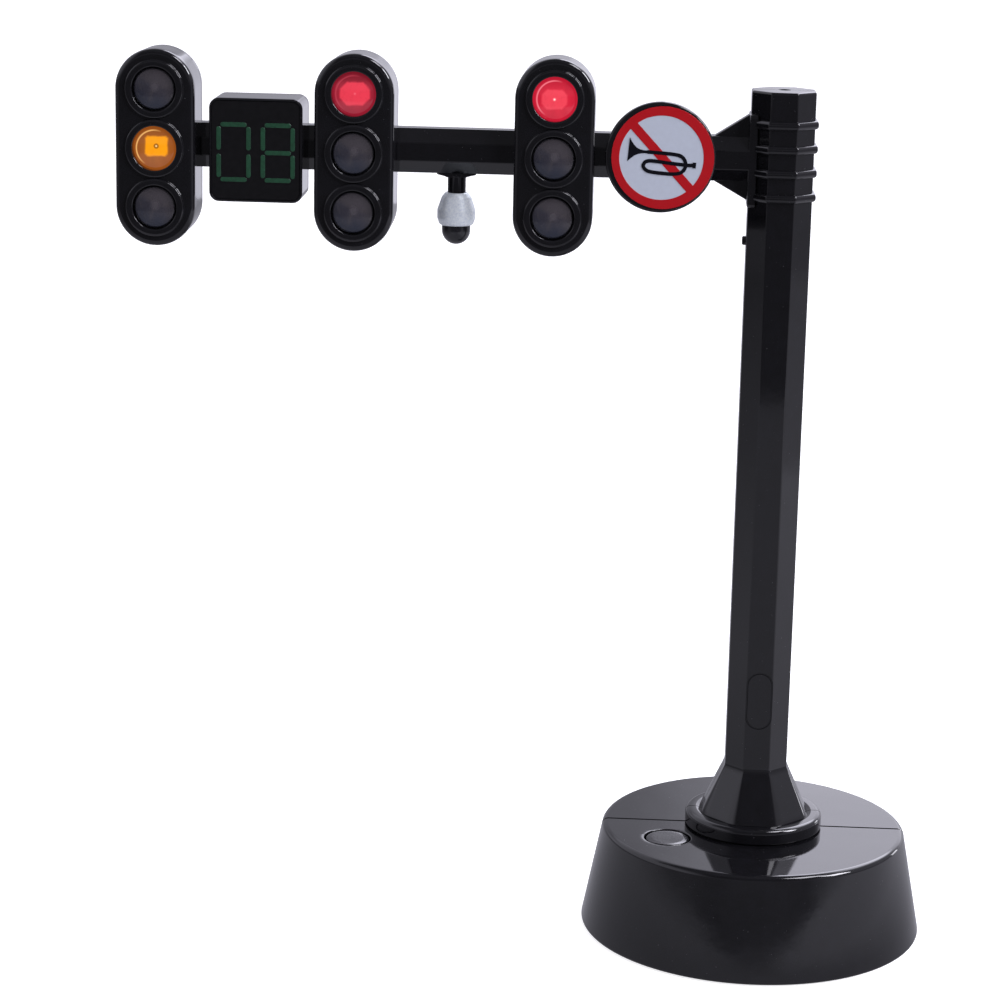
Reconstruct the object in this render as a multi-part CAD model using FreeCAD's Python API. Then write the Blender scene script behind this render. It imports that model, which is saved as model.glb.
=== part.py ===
"""Toy road signal mast: a round battery base, an octagonal mast and a cantilever arm that carries
three signal heads, a countdown display, a dome camera and a round prohibition sign.

Frame: the origin is the centre of the foot ring on the floor, +Z is up, the signal faces look along -Y
and the arm reaches out along -X. Units are millimetres.
"""

import FreeCAD
import Part
import math
import os

# ---- Overall arrangement -----------------------------------------------------------------------
MAST_TOP_Z = 177.6
ARM_Z = 163.7
HEAD_NAMES = ("outer", "middle", "inner")
OUTER_HEAD_X = -125.5
HEAD_PITCH = 40.0
DISPLAY_X = -105.2
CAMERA_X = -65.4
SIGN_X = -24.3
SIGN_Z = 164.5
TINY = 0.01
MARGIN = 1.0
CUT_SIZE = 400.0

# ---- Base --------------------------------------------------------------------------------------
BASE_BOTTOM_R = 36.0
BASE_TOP_R = 31.8
BASE_TOP_Z = 22.2
BASE_RIM_Z = 0.3
BASE_WALL = 2.0
BASE_TOP_FILLET = 1.3
BASE_RIM_FILLET = 0.6
LEDGE_INNER_R = 32.2
LEDGE_HEIGHT = 1.2
BASE_BOSS_XY = 20.5
BASE_BOSS_R = 2.6
BASE_BOSS_PILOT_R = 0.9
BASE_BOSS_PILOT_DEPTH = 8.0

PLATE_R = 33.3
PLATE_LOW_Z = 1.0
PLATE_HIGH_Z = 3.4
FOOT_OUTER_R = 33.0
FOOT_INNER_R = 31.2

# ---- Battery bay, cells and door ------------------------------------------------------------------
CELL_R = 5.25
CELL_LENGTH = 44.5
CELL_NUB_R = 1.9
CELL_NUB_LENGTH = 1.0
CELL_CAN_WALL = 0.9
CELL_COUNT = 3
CELL_PITCH = 10.8
CELL_Z = 8.15
CELL_EDGE_R = 0.5
BAY_HALF_X = 23.75
BAY_HALF_Y = 16.45
BAY_ROOF_Z = 13.6
BAY_WALL = 1.2
BAY_ROOF = 1.0
CONTACT_THICKNESS = 0.4
CONTACT_WIDTH = 8.6
CONTACT_LOW_Z = 4.0
CONTACT_HIGH_Z = 12.6
CONTACT_TAB_WIDTH = 2.4
SPRING_HALF_HEIGHT = 3.4
SPRING_HALF_WIDTH = 2.0
SPRING_THICKNESS = 0.3

DOOR_THICKNESS = 1.6
DOOR_GAP = 0.2
DOOR_PIN_R = 0.55
DOOR_PIN_HOLE_R = 0.6
DOOR_PIN_LENGTH = 1.1
TONGUE_HALF_WIDTH = 3.6
DOOR_SCREW_X = 27.2
DOOR_SCREW_R = 1.0
DOOR_SCREW_HEAD_R = 2.0
DOOR_SCREW_HEAD_HEIGHT = 0.9
DOOR_SCREW_TIP_Z = 5.0
DOOR_SCREW_SLOT = 0.5
DOOR_BOSS_R = 2.3
DOOR_BOSS_HOLE_R = 1.4
DOOR_BOSS_TOP_Z = 7.0

# ---- Push button, switch and control board ---------------------------------------------------------
BUTTON_X = -18.1
BUTTON_Y = -10.6
BUTTON_HOLE_R = 4.9
BUTTON_R = 4.55
BUTTON_FLANGE_R = 5.9
BUTTON_FLANGE_LOW_Z = 18.9
BUTTON_FLANGE_HIGH_Z = 20.0
BUTTON_POST_R = 1.8
BUTTON_EDGE_R = 0.3
BOARD_HIGH_X = 12.0
BOARD_LOW_Y = -15.0
BOARD_HIGH_Y = 11.0
BOARD_THICKNESS = 1.0
SWITCH_SIZE = 6.0
SWITCH_HEIGHT = 2.2
SWITCH_CHAMFER = 0.4
PLUNGER_R = 1.5
PLUNGER_CLEARANCE = 0.1
PLUNGER_TOP_Z = 18.6
PLUNGER_DEPTH = 0.5
PLUNGER_TRAVEL = 0.7
CHIP_X = -7.0
CHIP_Y = 3.0
CHIP_R = 3.8
CHIP_HEIGHT = 1.2
CHIP_EDGE_R = 1.0
COMPONENT_SIZE = (2.0, 1.2, 0.7)
COMPONENT_X = (-20.0, -15.0, -10.0, 7.0)
COMPONENT_Y = 8.5
CAPACITOR_R = 1.4
CAPACITOR_LENGTH = 6.0
CAPACITOR_X = 2.0
CAPACITOR_Y = -12.5

# ---- Mast --------------------------------------------------------------------------------------
MAST_ACROSS = 12.9
MAST_BORE_ACROSS = 9.3
MAST_CAP = 1.8
MAST_EDGE_R = 0.5
CONE_TOP_Z = 36.0
CONE_ACROSS = 22.3
CONE_CORNER_R = 5.0
DISC_R = 14.4
DISC_LOW_Z = 22.5
DISC_TOP_Z = 25.7
DISC_EDGE_R = 1.1
DISC_UNDER_EDGE_R = 0.3
COLLAR_R = 13.6
SPIGOT_R = 9.0
SPIGOT_CLEARANCE = 0.05
SPIGOT_LOW_Z = 17.4
SPIGOT_BORE_R = 6.6
SPIGOT_BORE_TOP_Z = 27.0
LIP_R = 11.0
LIP_LOW_Z = 18.6
LIP_GAP = 0.1
BAND_ACROSS = 14.3
BAND_HEIGHT = 1.75
BAND_PITCH = 4.85
BAND_COUNT = 4
BAND_EDGE_R = 0.35
MARK_Z = 51.4
MARK_WIDTH = 5.6
MARK_HEIGHT = 12.4
MARK_LINE = 0.35
MARK_DEPTH = 0.25

# ---- Arm ---------------------------------------------------------------------------------------
ARM_ACROSS = 9.0
ARM_BORE_ACROSS = 6.0
ARM_END_X = -130.5
ARM_END_WALL = 1.5
ARM_EDGE_R = 0.3
FLANGE_THICKNESS = 1.75
FLANGE_SEAT_X = -5.0
FLANGE_LOW_Z = 154.2
FLANGE_HIGH_Z = 172.9
FLANGE_HALF_WIDTH = 4.6
GUSSET_HALF_WIDTH = 1.4
GUSSET_LENGTH = 6.8
GUSSET_UP = 4.4
GUSSET_DOWN = 3.8
ARM_SPIGOT_R = 3.4
ARM_SPIGOT_HOLE_R = 3.45
ARM_SPIGOT_BORE_R = 2.2
ARM_LIP_R = 4.0
ARM_LIP_THICKNESS = 0.9
BACK_PLATE = 1.6

# ---- Signal heads --------------------------------------------------------------------------------
HEAD_WIDTH = 16.0
HEAD_HEIGHT = 39.5
HEAD_FRONT_Y = -10.2
BEZEL_BACK_Y = -7.2
BEZEL_FACE = 1.2
BEZEL_WALL = 1.3
BEZEL_EDGE_R = 1.1
HOUSING_STEP = 0.1
HOUSING_WALL = 1.7
LAMP_PITCH = 11.85
LAMP_NAMES = ("red", "amber", "green")
COLLAR_RING_R = 5.85
COLLAR_RING_HEIGHT = 0.8
COLLAR_RING_EDGE_R = 0.35
LENS_HOLE_R = 4.45
LENS_R = 4.4
LENS_FLANGE_R = 5.2
LENS_FLANGE = 0.8
LENS_DOME = 0.6
LENS_WELL_R = 4.0
LENS_WALL = 0.6
LED_BOARD_GAP = 0.1
LED_BOARD_THICKNESS = 0.8
LED_SIZE = 3.2
LED_HEIGHT = 0.8
LED_DOME_R = 0.7
SCREW_OFFSET_Z = 13.5
SCREW_BOSS_R = 2.0
SCREW_BOSS_DEPTH = 4.2
SCREW_RIB = 1.2
SCREW_R = 0.8
SCREW_CLEARANCE = 0.05
SCREW_LENGTH = 3.4
SCREW_HEAD_R = 1.6
SCREW_HEAD_HEIGHT = 0.9
SCREW_SINK = 1.0

# ---- Countdown display -----------------------------------------------------------------------------
DISPLAY_WIDTH = 18.8
DISPLAY_HEIGHT = 20.8
DISPLAY_CORNER_R = 2.0
DISPLAY_FRONT_Y = -9.8
DISPLAY_WALL = 1.4
DISPLAY_RIM = 0.5
DISPLAY_EDGE_R = 0.3
PANEL_THICKNESS = 0.6
MODULE_DEPTH = 3.2
MODULE_GAP = 0.1
DIGIT_HEIGHT = 11.9
DIGIT_WIDTH = 6.9
DIGIT_PITCH = 8.9
DIGIT_DROP = 0.4
SEGMENT_WIDTH = 0.9
SEGMENT_GAP = 0.35
SEGMENT_THICKNESS = 0.1
DISPLAY_SCREW_OFFSET_Z = 7.6

# ---- Sign and camera -------------------------------------------------------------------------------
SIGN_R = 11.0
SIGN_FRONT_Y = -10.0
SIGN_THICKNESS = 2.0
SIGN_EDGE_R = 0.4
SIGN_BOSS_R = 3.0
SIGN_BOSS_END_Y = -3.4
SIGN_PIN_R = 1.2
SIGN_PIN_HOLE_R = 1.25
SIGN_FACE_R = 10.5
SIGN_FACE_THICKNESS = 0.15
CAMERA_PLATE_LENGTH = 7.9
CAMERA_PLATE_WIDTH = 3.6
CAMERA_PLATE_THICKNESS = 0.8
CAMERA_STEM_R = 1.85
CAMERA_PIN_R = 0.9
CAMERA_PIN_HOLE_R = 0.95
CAMERA_HOUSING_TOP_Z = 155.2
CAMERA_HOUSING_LOW_Z = 148.6
CAMERA_HOUSING_R = 3.9
CAMERA_SHOULDER = 2.1
CAMERA_CHAMFER = 0.6
CAMERA_DOME_R = 2.9
CAMERA_DOME_LOW_Z = 144.6

# ---- Wiring ----------------------------------------------------------------------------------------
LOOM_R = 1.2
LOOM_X = 2.6
LOOM_BEND_R = 8.0
BRANCH_R = 0.5
BRANCH_HOLE_R = 0.8
LEAD_R = 0.5
LEAD_RUN = 3.0
LEAD_BEND_R = 2.5

# ---- Values worked out from the ones above ---------------------------------------------------------
HEAD_X = [OUTER_HEAD_X + HEAD_PITCH * i for i in range(len(HEAD_NAMES))]
ARM_FRONT_Y = -ARM_ACROSS / 2
ARM_BOTTOM_Z = ARM_Z - ARM_ACROSS / 2
FLANGE_FAR_X = FLANGE_SEAT_X - FLANGE_THICKNESS
BASE_UNDER_TOP_Z = BASE_TOP_Z - BASE_WALL
BOARD_LOW_Z = BAY_ROOF_Z + BAY_ROOF
BOARD_TOP_Z = BOARD_LOW_Z + BOARD_THICKNESS
BOARD_LOW_X = CONTACT_THICKNESS - BAY_HALF_X
DOOR_HINGE_X = -BAY_HALF_X + DOOR_GAP + DOOR_THICKNESS / 2
DOOR_HINGE_Z = PLATE_LOW_Z + DOOR_THICKNESS / 2
DOOR_TOP_Z = PLATE_LOW_Z + DOOR_THICKNESS
DOOR_HALF_Y = BAY_HALF_Y - DOOR_GAP
LAMP_OFFSETS = (LAMP_PITCH, 0.0, -LAMP_PITCH)


# ---- Helpers ---------------------------------------------------------------------------------------
def vec(x, y, z):
    return FreeCAD.Vector(x, y, z)


X_AXIS = vec(1, 0, 0)
Y_AXIS = vec(0, 1, 0)
Z_AXIS = vec(0, 0, 1)


def block(low, high):
    """A box between two opposite corners."""
    return Part.makeBox(high[0] - low[0], high[1] - low[1], high[2] - low[2], vec(*low))


def rod(radius, start, end):
    """A cylinder between the centres of its two end faces."""
    path = vec(*end) - vec(*start)
    return Part.makeCylinder(radius, path.Length, vec(*start), path)


def turned(profile):
    """A solid of revolution about Z, from (radius, z) corners that start and end on the axis or close."""
    points = [vec(r, 0, z) for r, z in profile]
    face = Part.Face(Part.makePolygon(points + [points[0]]))
    return face.revolve(vec(0, 0, 0), Z_AXIS, 360)


def octagon(across, z):
    """A regular octagon with flats towards X and Y."""
    radius = across / 2 / math.cos(math.pi / 8)
    angles = [math.pi / 8 + math.pi / 4 * k for k in range(8)]
    points = [vec(radius * math.cos(a), radius * math.sin(a), z) for a in angles]
    return Part.makePolygon(points + [points[0]])


def rounded_octagon(across, corner_r, z):
    """An octagon whose corners are rounded, as sixteen alternating arcs and lines."""
    points = [v.Point for v in octagon(across, z).OrderedVertexes]
    reach = corner_r * math.tan(math.pi / 8)
    sag = corner_r / math.cos(math.pi / 8) - corner_r
    arcs = []
    for i, corner in enumerate(points):
        enter = corner + (points[i - 1] - corner).normalize() * reach
        leave = corner + (points[(i + 1) % len(points)] - corner).normalize() * reach
        inward = vec(-corner.x, -corner.y, 0).normalize()
        arcs.append((enter, corner + inward * sag, leave))
    edges = []
    for i, (enter, middle, leave) in enumerate(arcs):
        edges.append(Part.Arc(enter, middle, leave).toShape())
        edges.append(Part.LineSegment(leave, arcs[(i + 1) % len(arcs)][0]).toShape())
    return Part.Wire(edges)


def octagon_post(across, low_z, high_z):
    return Part.Face(octagon(across, low_z)).extrude(vec(0, 0, high_z - low_z))


def octagon_beam(across, right_x, left_x):
    """An octagonal prism on the arm's axis, from right_x out to left_x."""
    beam = octagon_post(across, 0, right_x - left_x)
    beam.rotate(vec(0, 0, 0), Y_AXIS, -90)
    beam.translate(vec(right_x, 0, ARM_Z))
    return beam


def rounded_plate(centre, width, height, radius, front_y, back_y):
    """A plate square to Y with rounded corners; a radius of half the width gives a stadium."""
    cx, cz = centre
    hx = width / 2
    hz = height / 2
    corners = [(hx, hz, 0), (-hx, hz, 90), (-hx, -hz, 180), (hx, -hz, 270)]
    edges = []
    ends = []
    for x, z, start in corners:
        mid = (x - math.copysign(radius, x), z - math.copysign(radius, z))
        arc = []
        for angle in (start, start + 45, start + 90):
            a = math.radians(angle)
            arc.append(vec(cx + mid[0] + radius * math.cos(a), front_y, cz + mid[1] + radius * math.sin(a)))
        ends.append((arc[0], arc[2]))
        edges.append(Part.Arc(*arc).toShape())
    for i in range(len(corners)):
        start = ends[i][1]
        end = ends[(i + 1) % len(corners)][0]
        if (end - start).Length > TINY:
            edges.append(Part.LineSegment(start, end).toShape())
    wire = Part.Wire(Part.__sortEdges__(edges))
    return Part.Face(wire).extrude(vec(0, back_y - front_y, 0))


def flat_edges(shape, axis, value):
    """The edges that lie in the plane axis = value."""
    found = []
    for edge in shape.Edges:
        box = edge.BoundBox
        low = getattr(box, axis + "Min")
        high = getattr(box, axis + "Max")
        if abs(low - value) < TINY and abs(high - value) < TINY:
            found.append(edge)
    return found


def edges_along(shape, axis, length):
    """The straight edges parallel to an axis with at least the given length."""
    found = []
    for edge in shape.Edges:
        if isinstance(edge.Curve, Part.Line) and edge.Length >= length:
            if abs(abs(edge.tangentAt(edge.FirstParameter).dot(axis)) - 1) < TINY:
                found.append(edge)
    return found


def front_half(shape):
    cutter = block((-CUT_SIZE, -CUT_SIZE, -CUT_SIZE), (CUT_SIZE, 0, CUT_SIZE))
    return shape.common(cutter)


def rear_half(shape):
    cutter = block((-CUT_SIZE, 0, -CUT_SIZE), (CUT_SIZE, CUT_SIZE, CUT_SIZE))
    return shape.common(cutter)


def wire_tube(points, radius, bend_r):
    """A round wire along straight runs joined by tangent arcs."""
    knots = [vec(*p) for p in points]
    edges = []
    start = knots[0]
    for i in range(1, len(knots) - 1):
        back = (knots[i - 1] - knots[i]).normalize()
        ahead = (knots[i + 1] - knots[i]).normalize()
        turn = math.pi - back.getAngle(ahead)
        reach = bend_r * math.tan(turn / 2)
        enter = knots[i] + back * reach
        leave = knots[i] + ahead * reach
        bisector = (back + ahead).normalize()
        centre = knots[i] + bisector * (bend_r / math.cos(turn / 2))
        middle = centre - bisector * bend_r
        edges.append(Part.LineSegment(start, enter).toShape())
        edges.append(Part.Arc(enter, middle, leave).toShape())
        start = leave
    edges.append(Part.LineSegment(start, knots[-1]).toShape())
    path = Part.Wire(edges)
    ring = Part.Wire(Part.Circle(knots[0], knots[1] - knots[0], radius).toShape())
    return path.makePipeShell([ring], True, False)


def write(name, shape):
    shape = shape.removeSplitter()
    shape.exportStep("parts/" + name + ".step")


# ---- Base ------------------------------------------------------------------------------------------
def base_shells():
    slope = (BASE_BOTTOM_R - BASE_TOP_R) / (BASE_TOP_Z - BASE_RIM_Z)
    inner_top_r = BASE_TOP_R - BASE_WALL + slope * BASE_WALL
    inner_rim_r = BASE_BOTTOM_R - BASE_WALL
    outer = turned([(0, BASE_RIM_Z), (BASE_BOTTOM_R, BASE_RIM_Z), (BASE_TOP_R, BASE_TOP_Z), (0, BASE_TOP_Z)])
    outer = outer.makeFillet(BASE_TOP_FILLET, flat_edges(outer, "Z", BASE_TOP_Z))
    outer = outer.makeFillet(BASE_RIM_FILLET, flat_edges(outer, "Z", BASE_RIM_Z))
    hollow = turned([(0, 0), (inner_rim_r, 0), (inner_rim_r, BASE_RIM_Z),
                     (inner_top_r, BASE_UNDER_TOP_Z), (0, BASE_UNDER_TOP_Z)])
    shell = outer.cut(hollow)
    ledge = rod(inner_rim_r, (0, 0, PLATE_HIGH_Z), (0, 0, PLATE_HIGH_Z + LEDGE_HEIGHT))
    ledge = ledge.cut(rod(LEDGE_INNER_R, (0, 0, 0), (0, 0, BASE_TOP_Z)))
    shell = shell.fuse(ledge)
    for sx in (-1, 1):
        for sy in (-1, 1):
            x = sx * BASE_BOSS_XY
            y = sy * BASE_BOSS_XY
            shell = shell.fuse(rod(BASE_BOSS_R, (x, y, PLATE_HIGH_Z), (x, y, BASE_UNDER_TOP_Z)))
            pilot_top = PLATE_HIGH_Z + BASE_BOSS_PILOT_DEPTH
            shell = shell.cut(rod(BASE_BOSS_PILOT_R, (x, y, PLATE_HIGH_Z), (x, y, pilot_top)))
    hole_r = SPIGOT_R + SPIGOT_CLEARANCE
    shell = shell.cut(rod(hole_r, (0, 0, SPIGOT_LOW_Z), (0, 0, BASE_TOP_Z + MARGIN)))
    high = BASE_TOP_Z + MARGIN
    shell = shell.cut(rod(BUTTON_HOLE_R, (BUTTON_X, BUTTON_Y, SPIGOT_LOW_Z), (BUTTON_X, BUTTON_Y, high)))
    write("base_front_shell", front_half(shell))
    write("base_rear_shell", rear_half(shell))


def tongue(gap, low_z, high_z):
    """The screw tongue of the door, grown by a gap: a bar with a round end."""
    half = TONGUE_HALF_WIDTH + gap
    bar = block((BAY_HALF_X - BAY_WALL, -half, low_z), (DOOR_SCREW_X, half, high_z))
    return bar.fuse(rod(half, (DOOR_SCREW_X, 0, low_z), (DOOR_SCREW_X, 0, high_z)))


def contact_strip(side, low_y, high_y, low_z, high_z):
    """A strip as thick as a contact, against the bay's end wall on one side, -1 or +1."""
    near = side * (BAY_HALF_X - CONTACT_THICKNESS)
    far = side * BAY_HALF_X
    return block((min(near, far), low_y, low_z), (max(near, far), high_y, high_z))


def contact_tabs(low_z):
    """The solder tabs of the pack's two end terminals, which come up through the bay roof."""
    half = CONTACT_TAB_WIDTH / 2
    return [contact_strip(1, -CELL_PITCH - half, -CELL_PITCH + half, low_z, BOARD_TOP_Z),
            contact_strip(-1, CELL_PITCH - half, CELL_PITCH + half, low_z, BOARD_TOP_Z)]


def base_bottom():
    plate = rod(PLATE_R, (0, 0, PLATE_LOW_Z), (0, 0, PLATE_HIGH_Z))
    foot = rod(FOOT_OUTER_R, (0, 0, 0), (0, 0, PLATE_LOW_Z))
    foot = foot.cut(rod(FOOT_INNER_R, (0, 0, 0), (0, 0, PLATE_LOW_Z)))
    walls = block((-BAY_HALF_X - BAY_WALL, -BAY_HALF_Y - BAY_WALL, PLATE_LOW_Z),
                  (BAY_HALF_X + BAY_WALL, BAY_HALF_Y + BAY_WALL, BOARD_LOW_Z))
    boss = rod(DOOR_BOSS_R, (DOOR_SCREW_X, 0, PLATE_LOW_Z), (DOOR_SCREW_X, 0, DOOR_BOSS_TOP_Z))
    body = plate.fuse([foot, walls, boss])
    bay = block((-BAY_HALF_X, -BAY_HALF_Y, 0), (BAY_HALF_X, BAY_HALF_Y, BAY_ROOF_Z))
    screw_hole = rod(DOOR_BOSS_HOLE_R, (DOOR_SCREW_X, 0, 0), (DOOR_SCREW_X, 0, DOOR_BOSS_TOP_Z - MARGIN))
    body = body.cut([bay, screw_hole, tongue(DOOR_GAP, 0, DOOR_TOP_Z)])
    body = body.cut(contact_tabs(BAY_ROOF_Z))
    reach = BAY_HALF_Y + DOOR_PIN_LENGTH
    pin_hole = rod(DOOR_PIN_HOLE_R, (DOOR_HINGE_X, -reach, DOOR_HINGE_Z), (DOOR_HINGE_X, reach, DOOR_HINGE_Z))
    body = body.cut(pin_hole)
    for sx in (-1, 1):
        for sy in (-1, 1):
            x = sx * BASE_BOSS_XY
            y = sy * BASE_BOSS_XY
            body = body.cut(rod(SCREW_R + 2 * SCREW_CLEARANCE, (x, y, PLATE_LOW_Z), (x, y, PLATE_HIGH_Z)))
            body = body.cut(rod(SCREW_HEAD_R + SCREW_CLEARANCE, (x, y, PLATE_LOW_Z),
                                (x, y, PLATE_LOW_Z + SCREW_SINK)))
    write("base_bottom_plate", body)


def battery_door():
    low = (DOOR_HINGE_X, -DOOR_HALF_Y, PLATE_LOW_Z)
    high = (BAY_HALF_X - DOOR_GAP, DOOR_HALF_Y, DOOR_TOP_Z)
    door = block(low, high)
    edge = rod(DOOR_THICKNESS / 2, (DOOR_HINGE_X, -DOOR_HALF_Y, DOOR_HINGE_Z),
               (DOOR_HINGE_X, DOOR_HALF_Y, DOOR_HINGE_Z))
    reach = DOOR_HALF_Y + DOOR_PIN_LENGTH
    pins = rod(DOOR_PIN_R, (DOOR_HINGE_X, -reach, DOOR_HINGE_Z), (DOOR_HINGE_X, reach, DOOR_HINGE_Z))
    door = door.fuse([edge, pins, tongue(0, PLATE_LOW_Z, DOOR_TOP_Z)])
    shank_r = DOOR_SCREW_R + 2 * SCREW_CLEARANCE
    head_r = DOOR_SCREW_HEAD_R + 2 * SCREW_CLEARANCE
    door = door.cut(rod(shank_r, (DOOR_SCREW_X, 0, 0), (DOOR_SCREW_X, 0, DOOR_TOP_Z)))
    head_top = PLATE_LOW_Z + DOOR_SCREW_HEAD_HEIGHT
    door = door.cut(rod(head_r, (DOOR_SCREW_X, 0, 0), (DOOR_SCREW_X, 0, head_top)))
    write("battery_door", door)


def door_screw():
    head_top = PLATE_LOW_Z + DOOR_SCREW_HEAD_HEIGHT
    head = rod(DOOR_SCREW_HEAD_R, (DOOR_SCREW_X, 0, PLATE_LOW_Z), (DOOR_SCREW_X, 0, head_top))
    shank = rod(DOOR_SCREW_R, (DOOR_SCREW_X, 0, head_top), (DOOR_SCREW_X, 0, DOOR_SCREW_TIP_Z))
    screw = head.fuse(shank)
    half = DOOR_SCREW_SLOT / 2
    reach = DOOR_SCREW_HEAD_R - half
    low = PLATE_LOW_Z - MARGIN
    high = PLATE_LOW_Z + DOOR_SCREW_SLOT
    screw = screw.cut(block((DOOR_SCREW_X - reach, -half, low), (DOOR_SCREW_X + reach, half, high)))
    screw = screw.cut(block((DOOR_SCREW_X - half, -reach, low), (DOOR_SCREW_X + half, reach, high)))
    write("door_screw", screw)


def base_screws():
    screws = []
    for sx in (-1, 1):
        for sy in (-1, 1):
            x = sx * BASE_BOSS_XY
            y = sy * BASE_BOSS_XY
            seat = PLATE_LOW_Z + SCREW_SINK
            head = rod(SCREW_HEAD_R, (x, y, seat - SCREW_HEAD_HEIGHT), (x, y, seat))
            shank = rod(SCREW_R, (x, y, seat), (x, y, PLATE_HIGH_Z + BASE_BOSS_PILOT_DEPTH - MARGIN))
            screws.append(head.fuse(shank))
    write("base_screws", Part.makeCompound(screws))


# ---- Batteries and contacts ------------------------------------------------------------------------
def cell_places():
    """Each cell's y position and the side, -1 or +1, that its positive end faces."""
    first = -CELL_PITCH * (CELL_COUNT - 1) / 2
    return [(first + CELL_PITCH * i, 1 if i % 2 == 0 else -1) for i in range(CELL_COUNT)]


def cell_positive_end(side):
    """The cell's nub touches the contact plate on its positive side."""
    return side * (BAY_HALF_X - CONTACT_THICKNESS)


def battery_cells():
    for i, (y, side) in enumerate(cell_places()):
        tip = cell_positive_end(side)
        shoulder = tip - side * CELL_NUB_LENGTH
        base = tip - side * CELL_LENGTH
        can = rod(CELL_R, (base, y, CELL_Z), (shoulder, y, CELL_Z))
        can = can.makeFillet(CELL_EDGE_R, flat_edges(can, "X", shoulder) + flat_edges(can, "X", base))
        nub = rod(CELL_NUB_R, (shoulder, y, CELL_Z), (tip, y, CELL_Z))
        inside = rod(CELL_R - CELL_CAN_WALL, (base + side * CELL_CAN_WALL, y, CELL_Z),
                     (shoulder - side * CELL_CAN_WALL, y, CELL_Z))
        write("battery_cell_%d" % (i + 1), can.fuse(nub).cut(inside))


def contact_plates():
    """Two bridges that join neighbouring cells in series, and two end terminals with solder tabs."""
    half = CONTACT_WIDTH / 2
    bridges = [contact_strip(1, -half, CELL_PITCH + half, CONTACT_LOW_Z, CONTACT_HIGH_Z),
               contact_strip(-1, -CELL_PITCH - half, half, CONTACT_LOW_Z, CONTACT_HIGH_Z)]
    ends = [contact_strip(1, -CELL_PITCH - half, -CELL_PITCH + half, CONTACT_LOW_Z, CONTACT_HIGH_Z),
            contact_strip(-1, CELL_PITCH - half, CELL_PITCH + half, CONTACT_LOW_Z, CONTACT_HIGH_Z)]
    terminals = [end.fuse(tab) for end, tab in zip(ends, contact_tabs(CONTACT_HIGH_Z - MARGIN))]
    write("contact_plates", Part.makeCompound(bridges + terminals))


def leaf(bulge, half_height, wall_x, toward, y):
    """A solid bounded by the wall plane and an arc that stands out from it by the bulge."""
    bottom = vec(wall_x, y - SPRING_HALF_WIDTH, CELL_Z - half_height)
    crown = vec(wall_x + toward * bulge, y - SPRING_HALF_WIDTH, CELL_Z)
    top = vec(wall_x, y - SPRING_HALF_WIDTH, CELL_Z + half_height)
    arc = Part.Arc(bottom, crown, top).toShape()
    chord = Part.LineSegment(top, bottom).toShape()
    return Part.Face(Part.Wire([arc, chord])).extrude(vec(0, 2 * SPRING_HALF_WIDTH, 0))


def contact_springs():
    """Arched leaf springs that press on the cells' flat ends."""
    springs = []
    for y, side in cell_places():
        wall_x = -side * (BAY_HALF_X - CONTACT_THICKNESS)
        base = cell_positive_end(side) - side * CELL_LENGTH
        bulge = abs(wall_x - base)
        outer = leaf(bulge, SPRING_HALF_HEIGHT, wall_x, side, y)
        inner = leaf(bulge - SPRING_THICKNESS, SPRING_HALF_HEIGHT - SPRING_THICKNESS, wall_x, side, y)
        springs.append(outer.cut(inner))
    write("contact_springs", Part.makeCompound(springs))


# ---- Button and electronics ------------------------------------------------------------------------
def mode_button():
    cap = rod(BUTTON_R, (BUTTON_X, BUTTON_Y, BUTTON_FLANGE_HIGH_Z), (BUTTON_X, BUTTON_Y, BASE_TOP_Z))
    cap = cap.makeFillet(BUTTON_EDGE_R, flat_edges(cap, "Z", BASE_TOP_Z))
    flange = rod(BUTTON_FLANGE_R, (BUTTON_X, BUTTON_Y, BUTTON_FLANGE_LOW_Z),
                 (BUTTON_X, BUTTON_Y, BUTTON_FLANGE_HIGH_Z))
    post = rod(BUTTON_POST_R, (BUTTON_X, BUTTON_Y, PLUNGER_TOP_Z), (BUTTON_X, BUTTON_Y, BUTTON_FLANGE_LOW_Z))
    write("mode_button", cap.fuse([flange, post]))


def tact_switch():
    half = SWITCH_SIZE / 2
    top = BOARD_TOP_Z + SWITCH_HEIGHT
    body = block((BUTTON_X - half, BUTTON_Y - half, BOARD_TOP_Z), (BUTTON_X + half, BUTTON_Y + half, top))
    body = body.makeChamfer(SWITCH_CHAMFER, edges_along(body, Z_AXIS, TINY))
    well_low = top - PLUNGER_DEPTH - PLUNGER_TRAVEL - PLUNGER_CLEARANCE
    well = rod(PLUNGER_R + PLUNGER_CLEARANCE, (BUTTON_X, BUTTON_Y, well_low), (BUTTON_X, BUTTON_Y, top))
    write("tact_switch", body.cut(well))
    plunger = rod(PLUNGER_R, (BUTTON_X, BUTTON_Y, top - PLUNGER_DEPTH), (BUTTON_X, BUTTON_Y, PLUNGER_TOP_Z))
    write("switch_plunger", plunger)


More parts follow.
